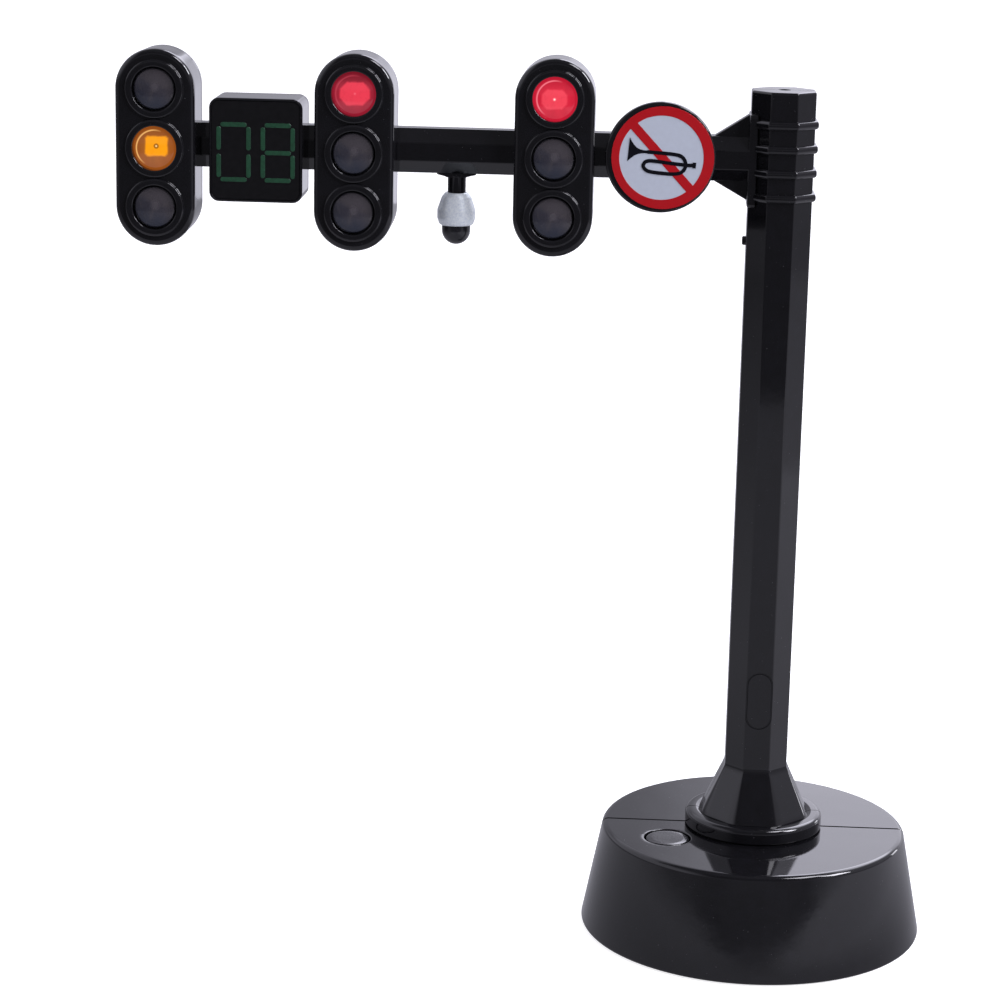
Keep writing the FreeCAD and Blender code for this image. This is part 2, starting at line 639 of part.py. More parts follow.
def control_board():
    board = block((BOARD_LOW_X, BOARD_LOW_Y, BOARD_LOW_Z), (BOARD_HIGH_X, BOARD_HIGH_Y, BOARD_TOP_Z))
    write("control_board", board)
    chip = rod(CHIP_R, (CHIP_X, CHIP_Y, BOARD_TOP_Z), (CHIP_X, CHIP_Y, BOARD_TOP_Z + CHIP_HEIGHT))
    chip = chip.makeFillet(CHIP_EDGE_R, flat_edges(chip, "Z", BOARD_TOP_Z + CHIP_HEIGHT))
    write("control_chip", chip)
    pieces = []
    for x in COMPONENT_X:
        dx, dy, dz = COMPONENT_SIZE
        pieces.append(block((x, COMPONENT_Y, BOARD_TOP_Z), (x + dx, COMPONENT_Y + dy, BOARD_TOP_Z + dz)))
    z = BOARD_TOP_Z + CAPACITOR_R
    half = CAPACITOR_LENGTH / 2
    start = (CAPACITOR_X - half, CAPACITOR_Y, z)
    end = (CAPACITOR_X + half, CAPACITOR_Y, z)
    pieces.append(rod(CAPACITOR_R, start, end))
    write("board_components", Part.makeCompound(pieces))


# ---- Mast ------------------------------------------------------------------------------------------
def mast_mark():
    """The shallow pill-shaped moulding line near the foot of the front facet."""
    front = -MAST_ACROSS / 2
    outer = rounded_plate((0, MARK_Z), MARK_WIDTH, MARK_HEIGHT, MARK_WIDTH / 2,
                          front - MARGIN, front + MARK_DEPTH)
    width = MARK_WIDTH - 2 * MARK_LINE
    height = MARK_HEIGHT - 2 * MARK_LINE
    inner = rounded_plate((0, MARK_Z), width, height, width / 2, front - MARGIN, front + MARK_DEPTH)
    return outer.cut(inner)


def mast_shells():
    post = octagon_post(MAST_ACROSS, CONE_TOP_Z, MAST_TOP_Z)
    long_edges = edges_along(post, Z_AXIS, MAST_TOP_Z / 2)
    post = post.makeFillet(MAST_EDGE_R, long_edges + flat_edges(post, "Z", MAST_TOP_Z))
    cone_foot = rounded_octagon(CONE_ACROSS, CONE_CORNER_R, DISC_TOP_Z)
    cone = Part.makeLoft([cone_foot, rounded_octagon(MAST_ACROSS, MAST_EDGE_R, CONE_TOP_Z)], True, True)
    disc = rod(DISC_R, (0, 0, DISC_LOW_Z), (0, 0, DISC_TOP_Z))
    disc = disc.makeFillet(DISC_EDGE_R, flat_edges(disc, "Z", DISC_TOP_Z))
    disc = disc.makeFillet(DISC_UNDER_EDGE_R, flat_edges(disc, "Z", DISC_LOW_Z))
    collar = rod(COLLAR_R, (0, 0, BASE_TOP_Z), (0, 0, DISC_TOP_Z - DISC_EDGE_R))
    spigot = rod(SPIGOT_R, (0, 0, SPIGOT_LOW_Z), (0, 0, BASE_TOP_Z + TINY))
    lip = rod(LIP_R, (0, 0, LIP_LOW_Z), (0, 0, BASE_UNDER_TOP_Z - LIP_GAP))
    bands = []
    middle = (BAND_COUNT - 1) / 2
    for i in range(BAND_COUNT):
        z = ARM_Z + (i - middle) * BAND_PITCH
        band = octagon_post(BAND_ACROSS, z - BAND_HEIGHT / 2, z + BAND_HEIGHT / 2)
        bands.append(band.makeFillet(BAND_EDGE_R, band.Edges))
    mast = post.fuse([cone, disc, collar, spigot, lip] + bands)
    bore = octagon_post(MAST_BORE_ACROSS, SPIGOT_LOW_Z - MARGIN, MAST_TOP_Z - MAST_CAP)
    wide_bore = rod(SPIGOT_BORE_R, (0, 0, SPIGOT_LOW_Z - MARGIN), (0, 0, SPIGOT_BORE_TOP_Z))
    flange_seat = block((-CUT_SIZE, -FLANGE_HALF_WIDTH, FLANGE_LOW_Z),
                        (FLANGE_SEAT_X, FLANGE_HALF_WIDTH, FLANGE_HIGH_Z))
    arm_hole = rod(ARM_SPIGOT_HOLE_R, (-MAST_ACROSS, 0, ARM_Z), (0, 0, ARM_Z))
    mast = mast.cut([bore, wide_bore, flange_seat, arm_hole, mast_mark()])
    write("mast_front_shell", front_half(mast))
    write("mast_rear_shell", rear_half(mast))


# ---- Arm -------------------------------------------------------------------------------------------
def gusset(height, direction):
    """A triangular web between the flange and the arm, above (+1) or below (-1)."""
    arm_z = ARM_Z + direction * (ARM_ACROSS / 2 - MARGIN)
    flange_z = ARM_Z + direction * (ARM_ACROSS / 2 + height)
    points = [vec(FLANGE_FAR_X, -GUSSET_HALF_WIDTH, arm_z),
              vec(FLANGE_FAR_X, -GUSSET_HALF_WIDTH, flange_z),
              vec(FLANGE_FAR_X - GUSSET_LENGTH, -GUSSET_HALF_WIDTH, ARM_Z + direction * ARM_ACROSS / 2),
              vec(FLANGE_FAR_X - GUSSET_LENGTH, -GUSSET_HALF_WIDTH, arm_z)]
    face = Part.Face(Part.makePolygon(points + [points[0]]))
    return face.extrude(vec(0, 2 * GUSSET_HALF_WIDTH, 0))


def screw_seats(centre_x, centre_z, offset):
    """The counterbored screw holes in a back plate."""
    cuts = []
    for direction in (-1, 1):
        z = centre_z + direction * offset
        cuts.append(rod(SCREW_R + SCREW_CLEARANCE, (centre_x, 0, z), (centre_x, BACK_PLATE, z)))
        cuts.append(rod(SCREW_HEAD_R + SCREW_CLEARANCE, (centre_x, BACK_PLATE - SCREW_SINK, z),
                        (centre_x, BACK_PLATE, z)))
    return cuts


def arm_shells():
    beam = octagon_beam(ARM_ACROSS, FLANGE_FAR_X + TINY, ARM_END_X)
    beam = beam.makeFillet(ARM_EDGE_R, edges_along(beam, X_AXIS, HEAD_PITCH))
    flange = block((FLANGE_FAR_X, -FLANGE_HALF_WIDTH, FLANGE_LOW_Z),
                   (FLANGE_SEAT_X, FLANGE_HALF_WIDTH, FLANGE_HIGH_Z))
    inner_x = -MAST_BORE_ACROSS / 2
    spigot = rod(ARM_SPIGOT_R, (FLANGE_FAR_X, 0, ARM_Z), (inner_x + ARM_LIP_THICKNESS, 0, ARM_Z))
    lip = rod(ARM_LIP_R, (inner_x, 0, ARM_Z), (inner_x + ARM_LIP_THICKNESS, 0, ARM_Z))
    lip = lip.common(octagon_post(MAST_BORE_ACROSS, FLANGE_LOW_Z, FLANGE_HIGH_Z))
    webs = [gusset(GUSSET_UP, 1), gusset(GUSSET_DOWN, -1)]
    arm = beam.fuse([flange, spigot, lip] + webs)
    bore = octagon_beam(ARM_BORE_ACROSS, FLANGE_FAR_X, ARM_END_X + ARM_END_WALL)
    spigot_bore = rod(ARM_SPIGOT_BORE_R, (FLANGE_FAR_X - MARGIN, 0, ARM_Z), (0, 0, ARM_Z))
    arm = arm.cut([bore, spigot_bore])

    front = front_half(arm)
    places = HEAD_X + [DISPLAY_X]
    holes = [rod(BRANCH_HOLE_R, (x, ARM_FRONT_Y - MARGIN, ARM_Z), (x, 0, ARM_Z)) for x in places]
    holes.append(rod(SIGN_PIN_HOLE_R, (SIGN_X, ARM_FRONT_Y - MARGIN, SIGN_Z), (SIGN_X, 0, SIGN_Z)))
    front = front.cut(holes)
    camera_hole = rod(CAMERA_PIN_HOLE_R, (CAMERA_X, 0, ARM_BOTTOM_Z - MARGIN), (CAMERA_X, 0, ARM_Z))
    write("arm_front_shell", front.cut(camera_hole))

    width = HEAD_WIDTH - 2 * HOUSING_STEP
    height = HEAD_HEIGHT - 2 * HOUSING_STEP
    channel = octagon_beam(ARM_BORE_ACROSS, FLANGE_FAR_X, ARM_END_X + ARM_END_WALL)
    plates = []
    seats = []
    for x in HEAD_X:
        plates.append(rounded_plate((x, ARM_Z), width, height, width / 2, 0, BACK_PLATE))
        seats += screw_seats(x, ARM_Z, SCREW_OFFSET_Z)
    plates.append(rounded_plate((DISPLAY_X, ARM_Z), DISPLAY_WIDTH, DISPLAY_HEIGHT, DISPLAY_CORNER_R,
                                0, BACK_PLATE))
    seats += screw_seats(DISPLAY_X, ARM_Z, DISPLAY_SCREW_OFFSET_Z)
    rear = rear_half(arm).fuse(plates).cut([channel, camera_hole] + seats)
    write("arm_rear_shell", rear)


def arm_screws():
    screws = []
    places = [(x, SCREW_OFFSET_Z) for x in HEAD_X] + [(DISPLAY_X, DISPLAY_SCREW_OFFSET_Z)]
    for x, offset in places:
        for direction in (-1, 1):
            z = ARM_Z + direction * offset
            seat = BACK_PLATE - SCREW_SINK
            head = rod(SCREW_HEAD_R, (x, seat, z), (x, seat + SCREW_HEAD_HEIGHT, z))
            shank = rod(SCREW_R, (x, seat - SCREW_LENGTH, z), (x, seat, z))
            screws.append(head.fuse(shank))
    write("arm_screws", Part.makeCompound(screws))


# ---- Signal heads ----------------------------------------------------------------------------------
def screw_posts(centre_x, offset, half_width, pilot_depth):
    """Screw bosses on a web across a housing, and the pilot holes to cut in them."""
    posts = []
    pilots = []
    for direction in (-1, 1):
        z = ARM_Z + direction * offset
        posts.append(rod(SCREW_BOSS_R, (centre_x, -pilot_depth, z), (centre_x, 0, z)))
        posts.append(block((centre_x - half_width, -pilot_depth, z - SCREW_RIB / 2),
                           (centre_x + half_width, 0, z + SCREW_RIB / 2)))
        pilots.append(rod(SCREW_R + SCREW_CLEARANCE, (centre_x, -pilot_depth, z), (centre_x, 0, z)))
    return posts, pilots


def head_housing(name, x):
    width = HEAD_WIDTH - 2 * HOUSING_STEP
    height = HEAD_HEIGHT - 2 * HOUSING_STEP
    outer = rounded_plate((x, ARM_Z), width, height, width / 2, BEZEL_BACK_Y, 0)
    in_width = width - 2 * HOUSING_WALL
    in_height = height - 2 * HOUSING_WALL
    inner = rounded_plate((x, ARM_Z), in_width, in_height, in_width / 2, BEZEL_BACK_Y, 0)
    posts, pilots = screw_posts(x, SCREW_OFFSET_Z, in_width / 2 + HOUSING_WALL / 2, SCREW_BOSS_DEPTH)
    housing = outer.cut(inner).fuse(posts).cut(pilots)
    arm = octagon_beam(ARM_ACROSS, x + HEAD_WIDTH, x - HEAD_WIDTH)
    if x == HEAD_X[0]:
        arm = octagon_beam(ARM_ACROSS, x + HEAD_WIDTH, ARM_END_X)
    write(name + "_head_housing", housing.cut(arm))


def head_bezel(name, x):
    outer = rounded_plate((x, ARM_Z), HEAD_WIDTH, HEAD_HEIGHT, HEAD_WIDTH / 2, HEAD_FRONT_Y, BEZEL_BACK_Y)
    outer = outer.makeFillet(BEZEL_EDGE_R, flat_edges(outer, "Y", HEAD_FRONT_Y))
    in_width = HEAD_WIDTH - 2 * BEZEL_WALL
    in_height = HEAD_HEIGHT - 2 * BEZEL_WALL
    pocket = rounded_plate((x, ARM_Z), in_width, in_height, in_width / 2,
                           HEAD_FRONT_Y + BEZEL_FACE, BEZEL_BACK_Y)
    bezel = outer.cut(pocket)
    ring_y = HEAD_FRONT_Y - COLLAR_RING_HEIGHT
    for offset in LAMP_OFFSETS:
        z = ARM_Z + offset
        ring = rod(COLLAR_RING_R, (x, ring_y, z), (x, HEAD_FRONT_Y + BEZEL_FACE / 2, z))
        ring = ring.cut(rod(LENS_HOLE_R, (x, ring_y, z), (x, 0, z)))
        ring = ring.makeFillet(COLLAR_RING_EDGE_R, flat_edges(ring, "Y", ring_y))
        bezel = bezel.cut(rod(LENS_HOLE_R, (x, ring_y, z), (x, 0, z))).fuse(ring)
    write(name + "_head_bezel", bezel)


def lens(x, z):
    back = HEAD_FRONT_Y + BEZEL_FACE + LENS_FLANGE
    flange = rod(LENS_FLANGE_R, (x, HEAD_FRONT_Y + BEZEL_FACE, z), (x, back, z))
    body = rod(LENS_R, (x, HEAD_FRONT_Y, z), (x, back, z))
    sphere_r = (LENS_R ** 2 + LENS_DOME ** 2) / (2 * LENS_DOME)
    ball = Part.makeSphere(sphere_r, vec(x, HEAD_FRONT_Y - LENS_DOME + sphere_r, z))
    dome = ball.common(rod(LENS_R, (x, HEAD_FRONT_Y - LENS_DOME - MARGIN, z), (x, HEAD_FRONT_Y, z)))
    well = rod(LENS_WELL_R, (x, HEAD_FRONT_Y + LENS_WALL, z), (x, back, z))
    return flange.fuse([body, dome]).cut(well)


def led(x, z):
    board_front = BEZEL_BACK_Y - LED_BOARD_THICKNESS
    half = LED_SIZE / 2
    body = block((x - half, board_front - LED_HEIGHT, z - half), (x + half, board_front, z + half))
    dome = Part.makeSphere(LED_DOME_R, vec(x, board_front - LED_HEIGHT, z))
    return body.fuse(dome)


def signal_heads():
    for name, x in zip(HEAD_NAMES, HEAD_X):
        head_housing(name, x)
        head_bezel(name, x)
        for lamp, offset in zip(LAMP_NAMES, LAMP_OFFSETS):
            write(name + "_lens_" + lamp, lens(x, ARM_Z + offset))
        inset = 2 * (BEZEL_WALL + LED_BOARD_GAP)
        width = HEAD_WIDTH - inset
        height = HEAD_HEIGHT - inset
        board = rounded_plate((x, ARM_Z), width, height, width / 2,
                              BEZEL_BACK_Y - LED_BOARD_THICKNESS, BEZEL_BACK_Y)
        write(name + "_led_board", board)
        write(name + "_leds", Part.makeCompound([led(x, ARM_Z + offset) for offset in LAMP_OFFSETS]))


# ---- Countdown display -----------------------------------------------------------------------------
def bar(x, z, length, upright):
    """One round-ended display segment."""
    width = length if not upright else SEGMENT_WIDTH
    height = length if upright else SEGMENT_WIDTH
    front = DISPLAY_FRONT_Y - SEGMENT_THICKNESS
    return rounded_plate((x, z), width, height, SEGMENT_WIDTH / 2, front, DISPLAY_FRONT_Y)


def digit(x, with_middle):
    """A seven-segment figure eight, or a nought without its middle segment."""
    z = ARM_Z - DIGIT_DROP
    side_x = (DIGIT_WIDTH - SEGMENT_WIDTH) / 2
    half = (DIGIT_HEIGHT - SEGMENT_WIDTH) / 2
    across = DIGIT_WIDTH - 2 * SEGMENT_WIDTH - 2 * SEGMENT_GAP + SEGMENT_WIDTH
    upright = half - SEGMENT_WIDTH / 2 - SEGMENT_GAP
    segments = [bar(x, z + half, across, False), bar(x, z - half, across, False)]
    for sx in (-1, 1):
        for sz in (-1, 1):
            segments.append(bar(x + sx * side_x, z + sz * half / 2, upright, True))
    if with_middle:
        segments.append(bar(x, z, across, False))
    return segments


def countdown_display():
    centre = (DISPLAY_X, ARM_Z)
    outer = rounded_plate(centre, DISPLAY_WIDTH, DISPLAY_HEIGHT, DISPLAY_CORNER_R, DISPLAY_FRONT_Y, 0)
    outer = outer.makeFillet(DISPLAY_EDGE_R, flat_edges(outer, "Y", DISPLAY_FRONT_Y))
    in_width = DISPLAY_WIDTH - 2 * DISPLAY_WALL
    in_height = DISPLAY_HEIGHT - 2 * DISPLAY_WALL
    panel_back = DISPLAY_FRONT_Y + PANEL_THICKNESS
    inner = rounded_plate(centre, in_width, in_height, DISPLAY_WALL / 2, panel_back, 0)
    panel_width = DISPLAY_WIDTH - 2 * DISPLAY_RIM
    panel_height = DISPLAY_HEIGHT - 2 * DISPLAY_RIM
    panel_r = DISPLAY_CORNER_R - DISPLAY_RIM
    panel = rounded_plate(centre, panel_width, panel_height, panel_r, DISPLAY_FRONT_Y, panel_back)
    posts, pilots = screw_posts(DISPLAY_X, DISPLAY_SCREW_OFFSET_Z, in_width / 2 + DISPLAY_WALL / 2,
                                SCREW_BOSS_DEPTH)
    arm = octagon_beam(ARM_ACROSS, DISPLAY_X + DISPLAY_WIDTH, DISPLAY_X - DISPLAY_WIDTH)
    write("display_housing", outer.cut([inner, panel]).fuse(posts).cut(pilots + [arm]))
    write("display_panel", panel)
    module = rounded_plate(centre, in_width - 2 * MODULE_GAP, in_height - 2 * MODULE_GAP, DISPLAY_WALL / 2,
                           panel_back, panel_back + MODULE_DEPTH)
    write("display_module", module)
    segments = digit(DISPLAY_X - DIGIT_PITCH / 2, False) + digit(DISPLAY_X + DIGIT_PITCH / 2, True)
    write("display_digits", Part.makeCompound(segments))


# ---- Sign and camera -------------------------------------------------------------------------------
def round_sign():
    back = SIGN_FRONT_Y + SIGN_THICKNESS
    disc = rod(SIGN_R, (SIGN_X, SIGN_FRONT_Y, SIGN_Z), (SIGN_X, back, SIGN_Z))
    disc = disc.makeFillet(SIGN_EDGE_R, flat_edges(disc, "Y", SIGN_FRONT_Y))
    boss = rod(SIGN_BOSS_R, (SIGN_X, back, SIGN_Z), (SIGN_X, 0, SIGN_Z))
    boss = boss.cut(octagon_beam(ARM_ACROSS, SIGN_X + SIGN_R, SIGN_X - SIGN_R))
    boss = boss.common(block((SIGN_X - SIGN_R, back, ARM_Z - SIGN_R),
                             (SIGN_X + SIGN_R, SIGN_BOSS_END_Y, ARM_Z + SIGN_R)))
    pin = rod(SIGN_PIN_R, (SIGN_X, back, SIGN_Z), (SIGN_X, -ARM_BORE_ACROSS / 2, SIGN_Z))
    write("sign_disc", disc.fuse([boss, pin]))
    face_y = SIGN_FRONT_Y - SIGN_FACE_THICKNESS
    write("sign_face", rod(SIGN_FACE_R, (SIGN_X, face_y, SIGN_Z), (SIGN_X, SIGN_FRONT_Y, SIGN_Z)))


def dome_camera():
    plate_low = ARM_BOTTOM_Z - CAMERA_PLATE_THICKNESS
    plate = block((CAMERA_X - CAMERA_PLATE_LENGTH / 2, -CAMERA_PLATE_WIDTH / 2, plate_low),
                  (CAMERA_X + CAMERA_PLATE_LENGTH / 2, CAMERA_PLATE_WIDTH / 2, ARM_BOTTOM_Z))
    stem = rod(CAMERA_STEM_R, (CAMERA_X, 0, CAMERA_HOUSING_TOP_Z), (CAMERA_X, 0, plate_low))
    pin = rod(CAMERA_PIN_R, (CAMERA_X, 0, ARM_BOTTOM_Z), (CAMERA_X, 0, ARM_Z - ARM_BORE_ACROSS / 2))
    write("camera_bracket", plate.fuse([stem, pin]))

    housing = rod(CAMERA_HOUSING_R, (CAMERA_X, 0, CAMERA_HOUSING_LOW_Z), (CAMERA_X, 0, CAMERA_HOUSING_TOP_Z))
    housing = housing.makeFillet(CAMERA_SHOULDER, flat_edges(housing, "Z", CAMERA_HOUSING_TOP_Z))
    housing = housing.makeChamfer(CAMERA_CHAMFER, flat_edges(housing, "Z", CAMERA_HOUSING_LOW_Z))
    write("camera_housing", housing)

    height = CAMERA_HOUSING_LOW_Z - CAMERA_DOME_LOW_Z
    neck = height - CAMERA_DOME_R
    ball = Part.makeSphere(CAMERA_DOME_R, vec(CAMERA_X, 0, CAMERA_DOME_LOW_Z + CAMERA_DOME_R))
    sleeve_low = (CAMERA_X, 0, CAMERA_HOUSING_LOW_Z - neck)
    sleeve = rod(CAMERA_DOME_R, sleeve_low, (CAMERA_X, 0, CAMERA_HOUSING_LOW_Z))
    below = block((CAMERA_X - CUT_SIZE, -CUT_SIZE, 0), (CAMERA_X + CUT_SIZE, CUT_SIZE, CAMERA_HOUSING_LOW_Z))
    write("camera_dome", ball.fuse(sleeve).common(below))


# ---- Wiring ----------------------------------------------------------------------------------------
def wiring():
    route = [(LOOM_X, 0, BOARD_TOP_Z), (LOOM_X, 0, ARM_Z), (HEAD_X[0], 0, ARM_Z)]
    trunk = wire_tube(route, LOOM_R, LOOM_BEND_R)
    branches = [rod(BRANCH_R, (x, 0, ARM_Z), (x, BEZEL_BACK_Y, ARM_Z)) for x in HEAD_X]
    module_back = DISPLAY_FRONT_Y + PANEL_THICKNESS + MODULE_DEPTH
    branches.append(rod(BRANCH_R, (DISPLAY_X, 0, ARM_Z), (DISPLAY_X, module_back, ARM_Z)))
    write("wiring_loom", trunk.fuse(branches))

    tab_x = BAY_HALF_X - CONTACT_THICKNESS
    low = BOARD_LOW_Z + LEAD_R
    high = BOARD_TOP_Z + LEAD_R
    points = [(tab_x, -CELL_PITCH, low), (tab_x - LEAD_RUN, -CELL_PITCH, low),
              (BOARD_HIGH_X + MARGIN, -CELL_PITCH, high), (BOARD_HIGH_X - LEAD_RUN, -CELL_PITCH, high)]
    write("battery_lead", wire_tube(points, LEAD_R, LEAD_BEND_R))


def main():
    os.makedirs("parts", exist_ok=True)
    base_shells()
    base_bottom()
    battery_door()
    door_screw()
    base_screws()
    battery_cells()
    contact_plates()
    contact_springs()
    mode_button()
    tact_switch()
    control_board()
    mast_shells()
    arm_shells()
    arm_screws()
    signal_heads()
    countdown_display()
    round_sign()
    dome_camera()
    wiring()


main()
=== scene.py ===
"""Looks of a toy road signal mast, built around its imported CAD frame.

Lengths are millimetres in the CAD's frame and are turned into metres when a mesh is made: the origin is
the centre of the foot ring, +Z is up, the signal faces look along -Y and the arm reaches along -X.
"""

import bpy
import bmesh
import math
from mathutils import Matrix, Vector


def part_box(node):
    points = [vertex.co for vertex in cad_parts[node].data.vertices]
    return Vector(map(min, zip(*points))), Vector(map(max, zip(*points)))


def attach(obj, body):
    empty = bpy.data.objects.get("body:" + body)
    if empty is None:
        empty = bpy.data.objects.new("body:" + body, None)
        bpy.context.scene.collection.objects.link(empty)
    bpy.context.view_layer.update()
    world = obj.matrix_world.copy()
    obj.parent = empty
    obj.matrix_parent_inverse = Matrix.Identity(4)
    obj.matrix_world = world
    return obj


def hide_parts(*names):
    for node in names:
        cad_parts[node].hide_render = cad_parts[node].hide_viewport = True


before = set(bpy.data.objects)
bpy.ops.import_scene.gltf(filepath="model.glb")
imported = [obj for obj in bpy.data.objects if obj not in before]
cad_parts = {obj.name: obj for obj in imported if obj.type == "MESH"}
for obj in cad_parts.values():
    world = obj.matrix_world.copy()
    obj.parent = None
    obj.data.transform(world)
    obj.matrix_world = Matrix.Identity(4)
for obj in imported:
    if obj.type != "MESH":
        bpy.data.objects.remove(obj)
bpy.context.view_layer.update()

# ---- Dimensions (mm) ----
MM = 0.001
ARM_Z = 163.7
MAST_TOP_Z = 177.6
MAST_ACROSS = 12.9
MAST_EDGE = 0.5
CONE_ACROSS = 22.3
CONE_CORNER_R = 5.0
CONE_TOP_Z = 36.0
DISC_R = 14.4
DISC_LOW_Z = 22.5
DISC_TOP_Z = 25.7
COLLAR_R = 13.6
SPIGOT_R = 9.0
SPIGOT_LOW_Z = 17.4
BAND_ACROSS = 14.3
BAND_HEIGHT = 1.75
BAND_PITCH = 4.85
BAND_COUNT = 4
MARK_Z = 51.4
MARK_WIDTH = 5.6
MARK_HEIGHT = 12.4
NUB_Z = 147.0

BASE_TOP_Z = 22.2
BASE_TOP_R = 31.8
BASE_RIM_R = 36.0
BASE_RIM_Z = 0.3
BASE_WALL = 2.0
BASE_SCREW_AT = 20.5
BASE_SCREW_Z = 1.14
PAN_HEAD_R = 1.55
PAN_HEAD = 0.88
SHANK_R = 0.8
BUTTON_X = -18.1
BUTTON_Y = -10.6
BUTTON_R = 4.55
BUTTON_HOLE_R = 4.9

ARM_ACROSS = 9.0
ARM_EDGE = 0.35
FLANGE_SEAT_X = -5.0
ARM_START_X = -6.75
ARM_END_X = -130.5
FLANGE_LOW_Z = 154.2
FLANGE_HIGH_Z = 172.9
FLANGE_Z = (FLANGE_LOW_Z + FLANGE_HIGH_Z) / 2
FLANGE_HALF_WIDTH = 4.6
GUSSET_HALF_WIDTH = 1.4
GUSSET_LENGTH = 6.8
GUSSET_UP = 4.4
GUSSET_DOWN = 3.8
BACK_PLATE = 1.6

HEAD_X = {"outer": -125.5, "middle": -85.5, "inner": -45.5}
HEAD_WIDTH = 16.0
HEAD_HEIGHT = 39.5
HEAD_FRONT_Y = -10.2
HEAD_BACK_Y = -7.2
HEAD_EDGE = 1.1
HEAD_WALL = 1.3
HEAD_FACE = 1.2
HOUSING_STEP = 0.1
HOUSING_WALL = 1.7
LAMP_OFFSETS = {"red": 11.85, "amber": 0.0, "green": -11.85}
COLLAR_RING_R = 5.85
COLLAR_RING_Y = -11.0
LENS_HOLE_R = 4.45
LENS_R = 4.3
LENS_APEX_Y = -10.8
LENS_FLANGE_R = 5.2
LENS_FLANGE_Y = -9.0
LENS_BACK_Y = -8.2
HEAD_SCREW_Z = 13.5

DISPLAY_X = -105.2
DISPLAY_WIDTH = 18.8
DISPLAY_HEIGHT = 20.8
DISPLAY_CORNER = 2.0
DISPLAY_FRONT_Y = -9.8
DISPLAY_RIM = 0.5
DISPLAY_WALL = 1.4
DISPLAY_SCREW_Z = 7.6
DIGIT_HEIGHT = 11.9
DIGIT_WIDTH = 6.9
DIGIT_PITCH = 8.9
DIGIT_DROP = 0.4
SEGMENT = 0.9
SEGMENT_GAP = 0.35

SIGN_X = -24.3
SIGN_Z = 164.5
SIGN_R = 11.0
SIGN_FRONT_Y = -10.0
SIGN_BACK_Y = -8.0

CAMERA_X = -65.4
CAMERA_HOUSING_R = 3.9
CAMERA_HOUSING_TOP = 155.2
CAMERA_HOUSING_LOW = 148.6
CAMERA_DOME_R = 2.9
CAMERA_DOME_LOW = 144.6

VIEW_PLACE = (-25.1, -593.5, 234.8)
VIEW_ANGLES = (13.59, 1.21, -2.91)
VIEW_LENS = 105.7
FLOOR_HOLE_R = 34.0
ROOM_TINT = (0.97, 0.96, 1.1)
LIGHT_TINT = (0.98, 0.97, 1.06)
SEAM_GAP = 0.2
BASE_SEAM_GAP = 0.46
SEAM_EASE = 0.2
OVER = 1.0


# ---- Paths and outlines ----
def rounded(corners, steps=4, closed=False):
    """A path through (u, v, radius) corners, each corner with a radius replaced by an arc."""
    path = []
    count = len(corners)
    for i, (u, v, radius) in enumerate(corners):
        here = Vector((u, v))
        if radius <= 0 or (not closed and i in (0, count - 1)):
            path.append((u, v))
            continue
        before = (Vector(corners[i - 1][:2]) - here).normalized()
        after = (Vector(corners[(i + 1) % count][:2]) - here).normalized()
        half = before.angle(after) / 2
        centre = here + (before + after).normalized() * (radius / math.sin(half))
        start = here + before * (radius / math.tan(half)) - centre
        end = here + after * (radius / math.tan(half)) - centre
        first = math.atan2(start.y, start.x)
        turn = (math.atan2(end.y, end.x) - first + math.pi) % math.tau - math.pi
        for k in range(steps + 1):
            angle = first + turn * k / steps
            path.append((centre.x + radius * math.cos(angle), centre.y + radius * math.sin(angle)))
    return path


def octagon(across, radius=MAST_EDGE, steps=4):
    """A regular octagon with flats towards both axes and rounded corners."""
    reach = across / 2 / math.cos(math.pi / 8)
    angles = [math.pi / 8 + math.pi / 4 * k for k in range(8)]
    return rounded([(reach * math.cos(a), reach * math.sin(a), radius) for a in angles], steps, True)


def rectangle(width, height, radius, steps=6):
    """A rounded rectangle about the origin; a radius of half the width makes a stadium."""
    x = width / 2
    z = height / 2
    r = min(radius, x - 0.001)
    return rounded([(x, z, r), (-x, z, r), (-x, -z, r), (x, -z, r)], steps, True)


def stadium(width, height, steps=20):
    return rectangle(width, height, width / 2, steps)


def circle(radius, count=32, start=0.5):
    angles = [math.tau * (k + start) / count for k in range(count)]
    return [(radius * math.cos(a), radius * math.sin(a)) for a in angles]


def flat(outline, z):
    """An outline laid flat at a height."""
    return [(u, v, z) for u, v in outline]


def standing(outline, y, x, z=ARM_Z):
    """An outline set upright in the plane at y, about x and z."""
    return [(x + u, y, z + v) for u, v in outline]


def crossing(outline, x, z=ARM_Z):
    """An outline set across the arm at x, about the height z."""
    return [(x, u, z + v) for u, v in outline]


def edge_rings(radius, steps=4):
    """(inset, height below the face) pairs that round an edge, from the side to the face."""
    pairs = []
    for k in range(steps + 1):
        angle = math.pi / 2 * k / steps
        pairs.append((radius * (1 - math.cos(angle)), radius * (1 - math.sin(angle))))
    return pairs


# ---- Solids ----
def linked(name, data):
    obj = bpy.data.objects.new(name, data)
    bpy.context.scene.collection.objects.link(obj)
    return obj


def to_object(name, bm):
    """A linked object from a bmesh in millimetres, welded and with its faces turned outwards."""
    bmesh.ops.remove_doubles(bm, verts=bm.verts, dist=0.0005)
    bmesh.ops.dissolve_degenerate(bm, edges=bm.edges, dist=0.0002)
    bmesh.ops.recalc_face_normals(bm, faces=bm.faces)
    bmesh.ops.scale(bm, vec=(MM, MM, MM), verts=bm.verts)
    mesh = bpy.data.meshes.new(name)
    bm.to_mesh(mesh)
    bm.free()
    return linked(name, mesh)


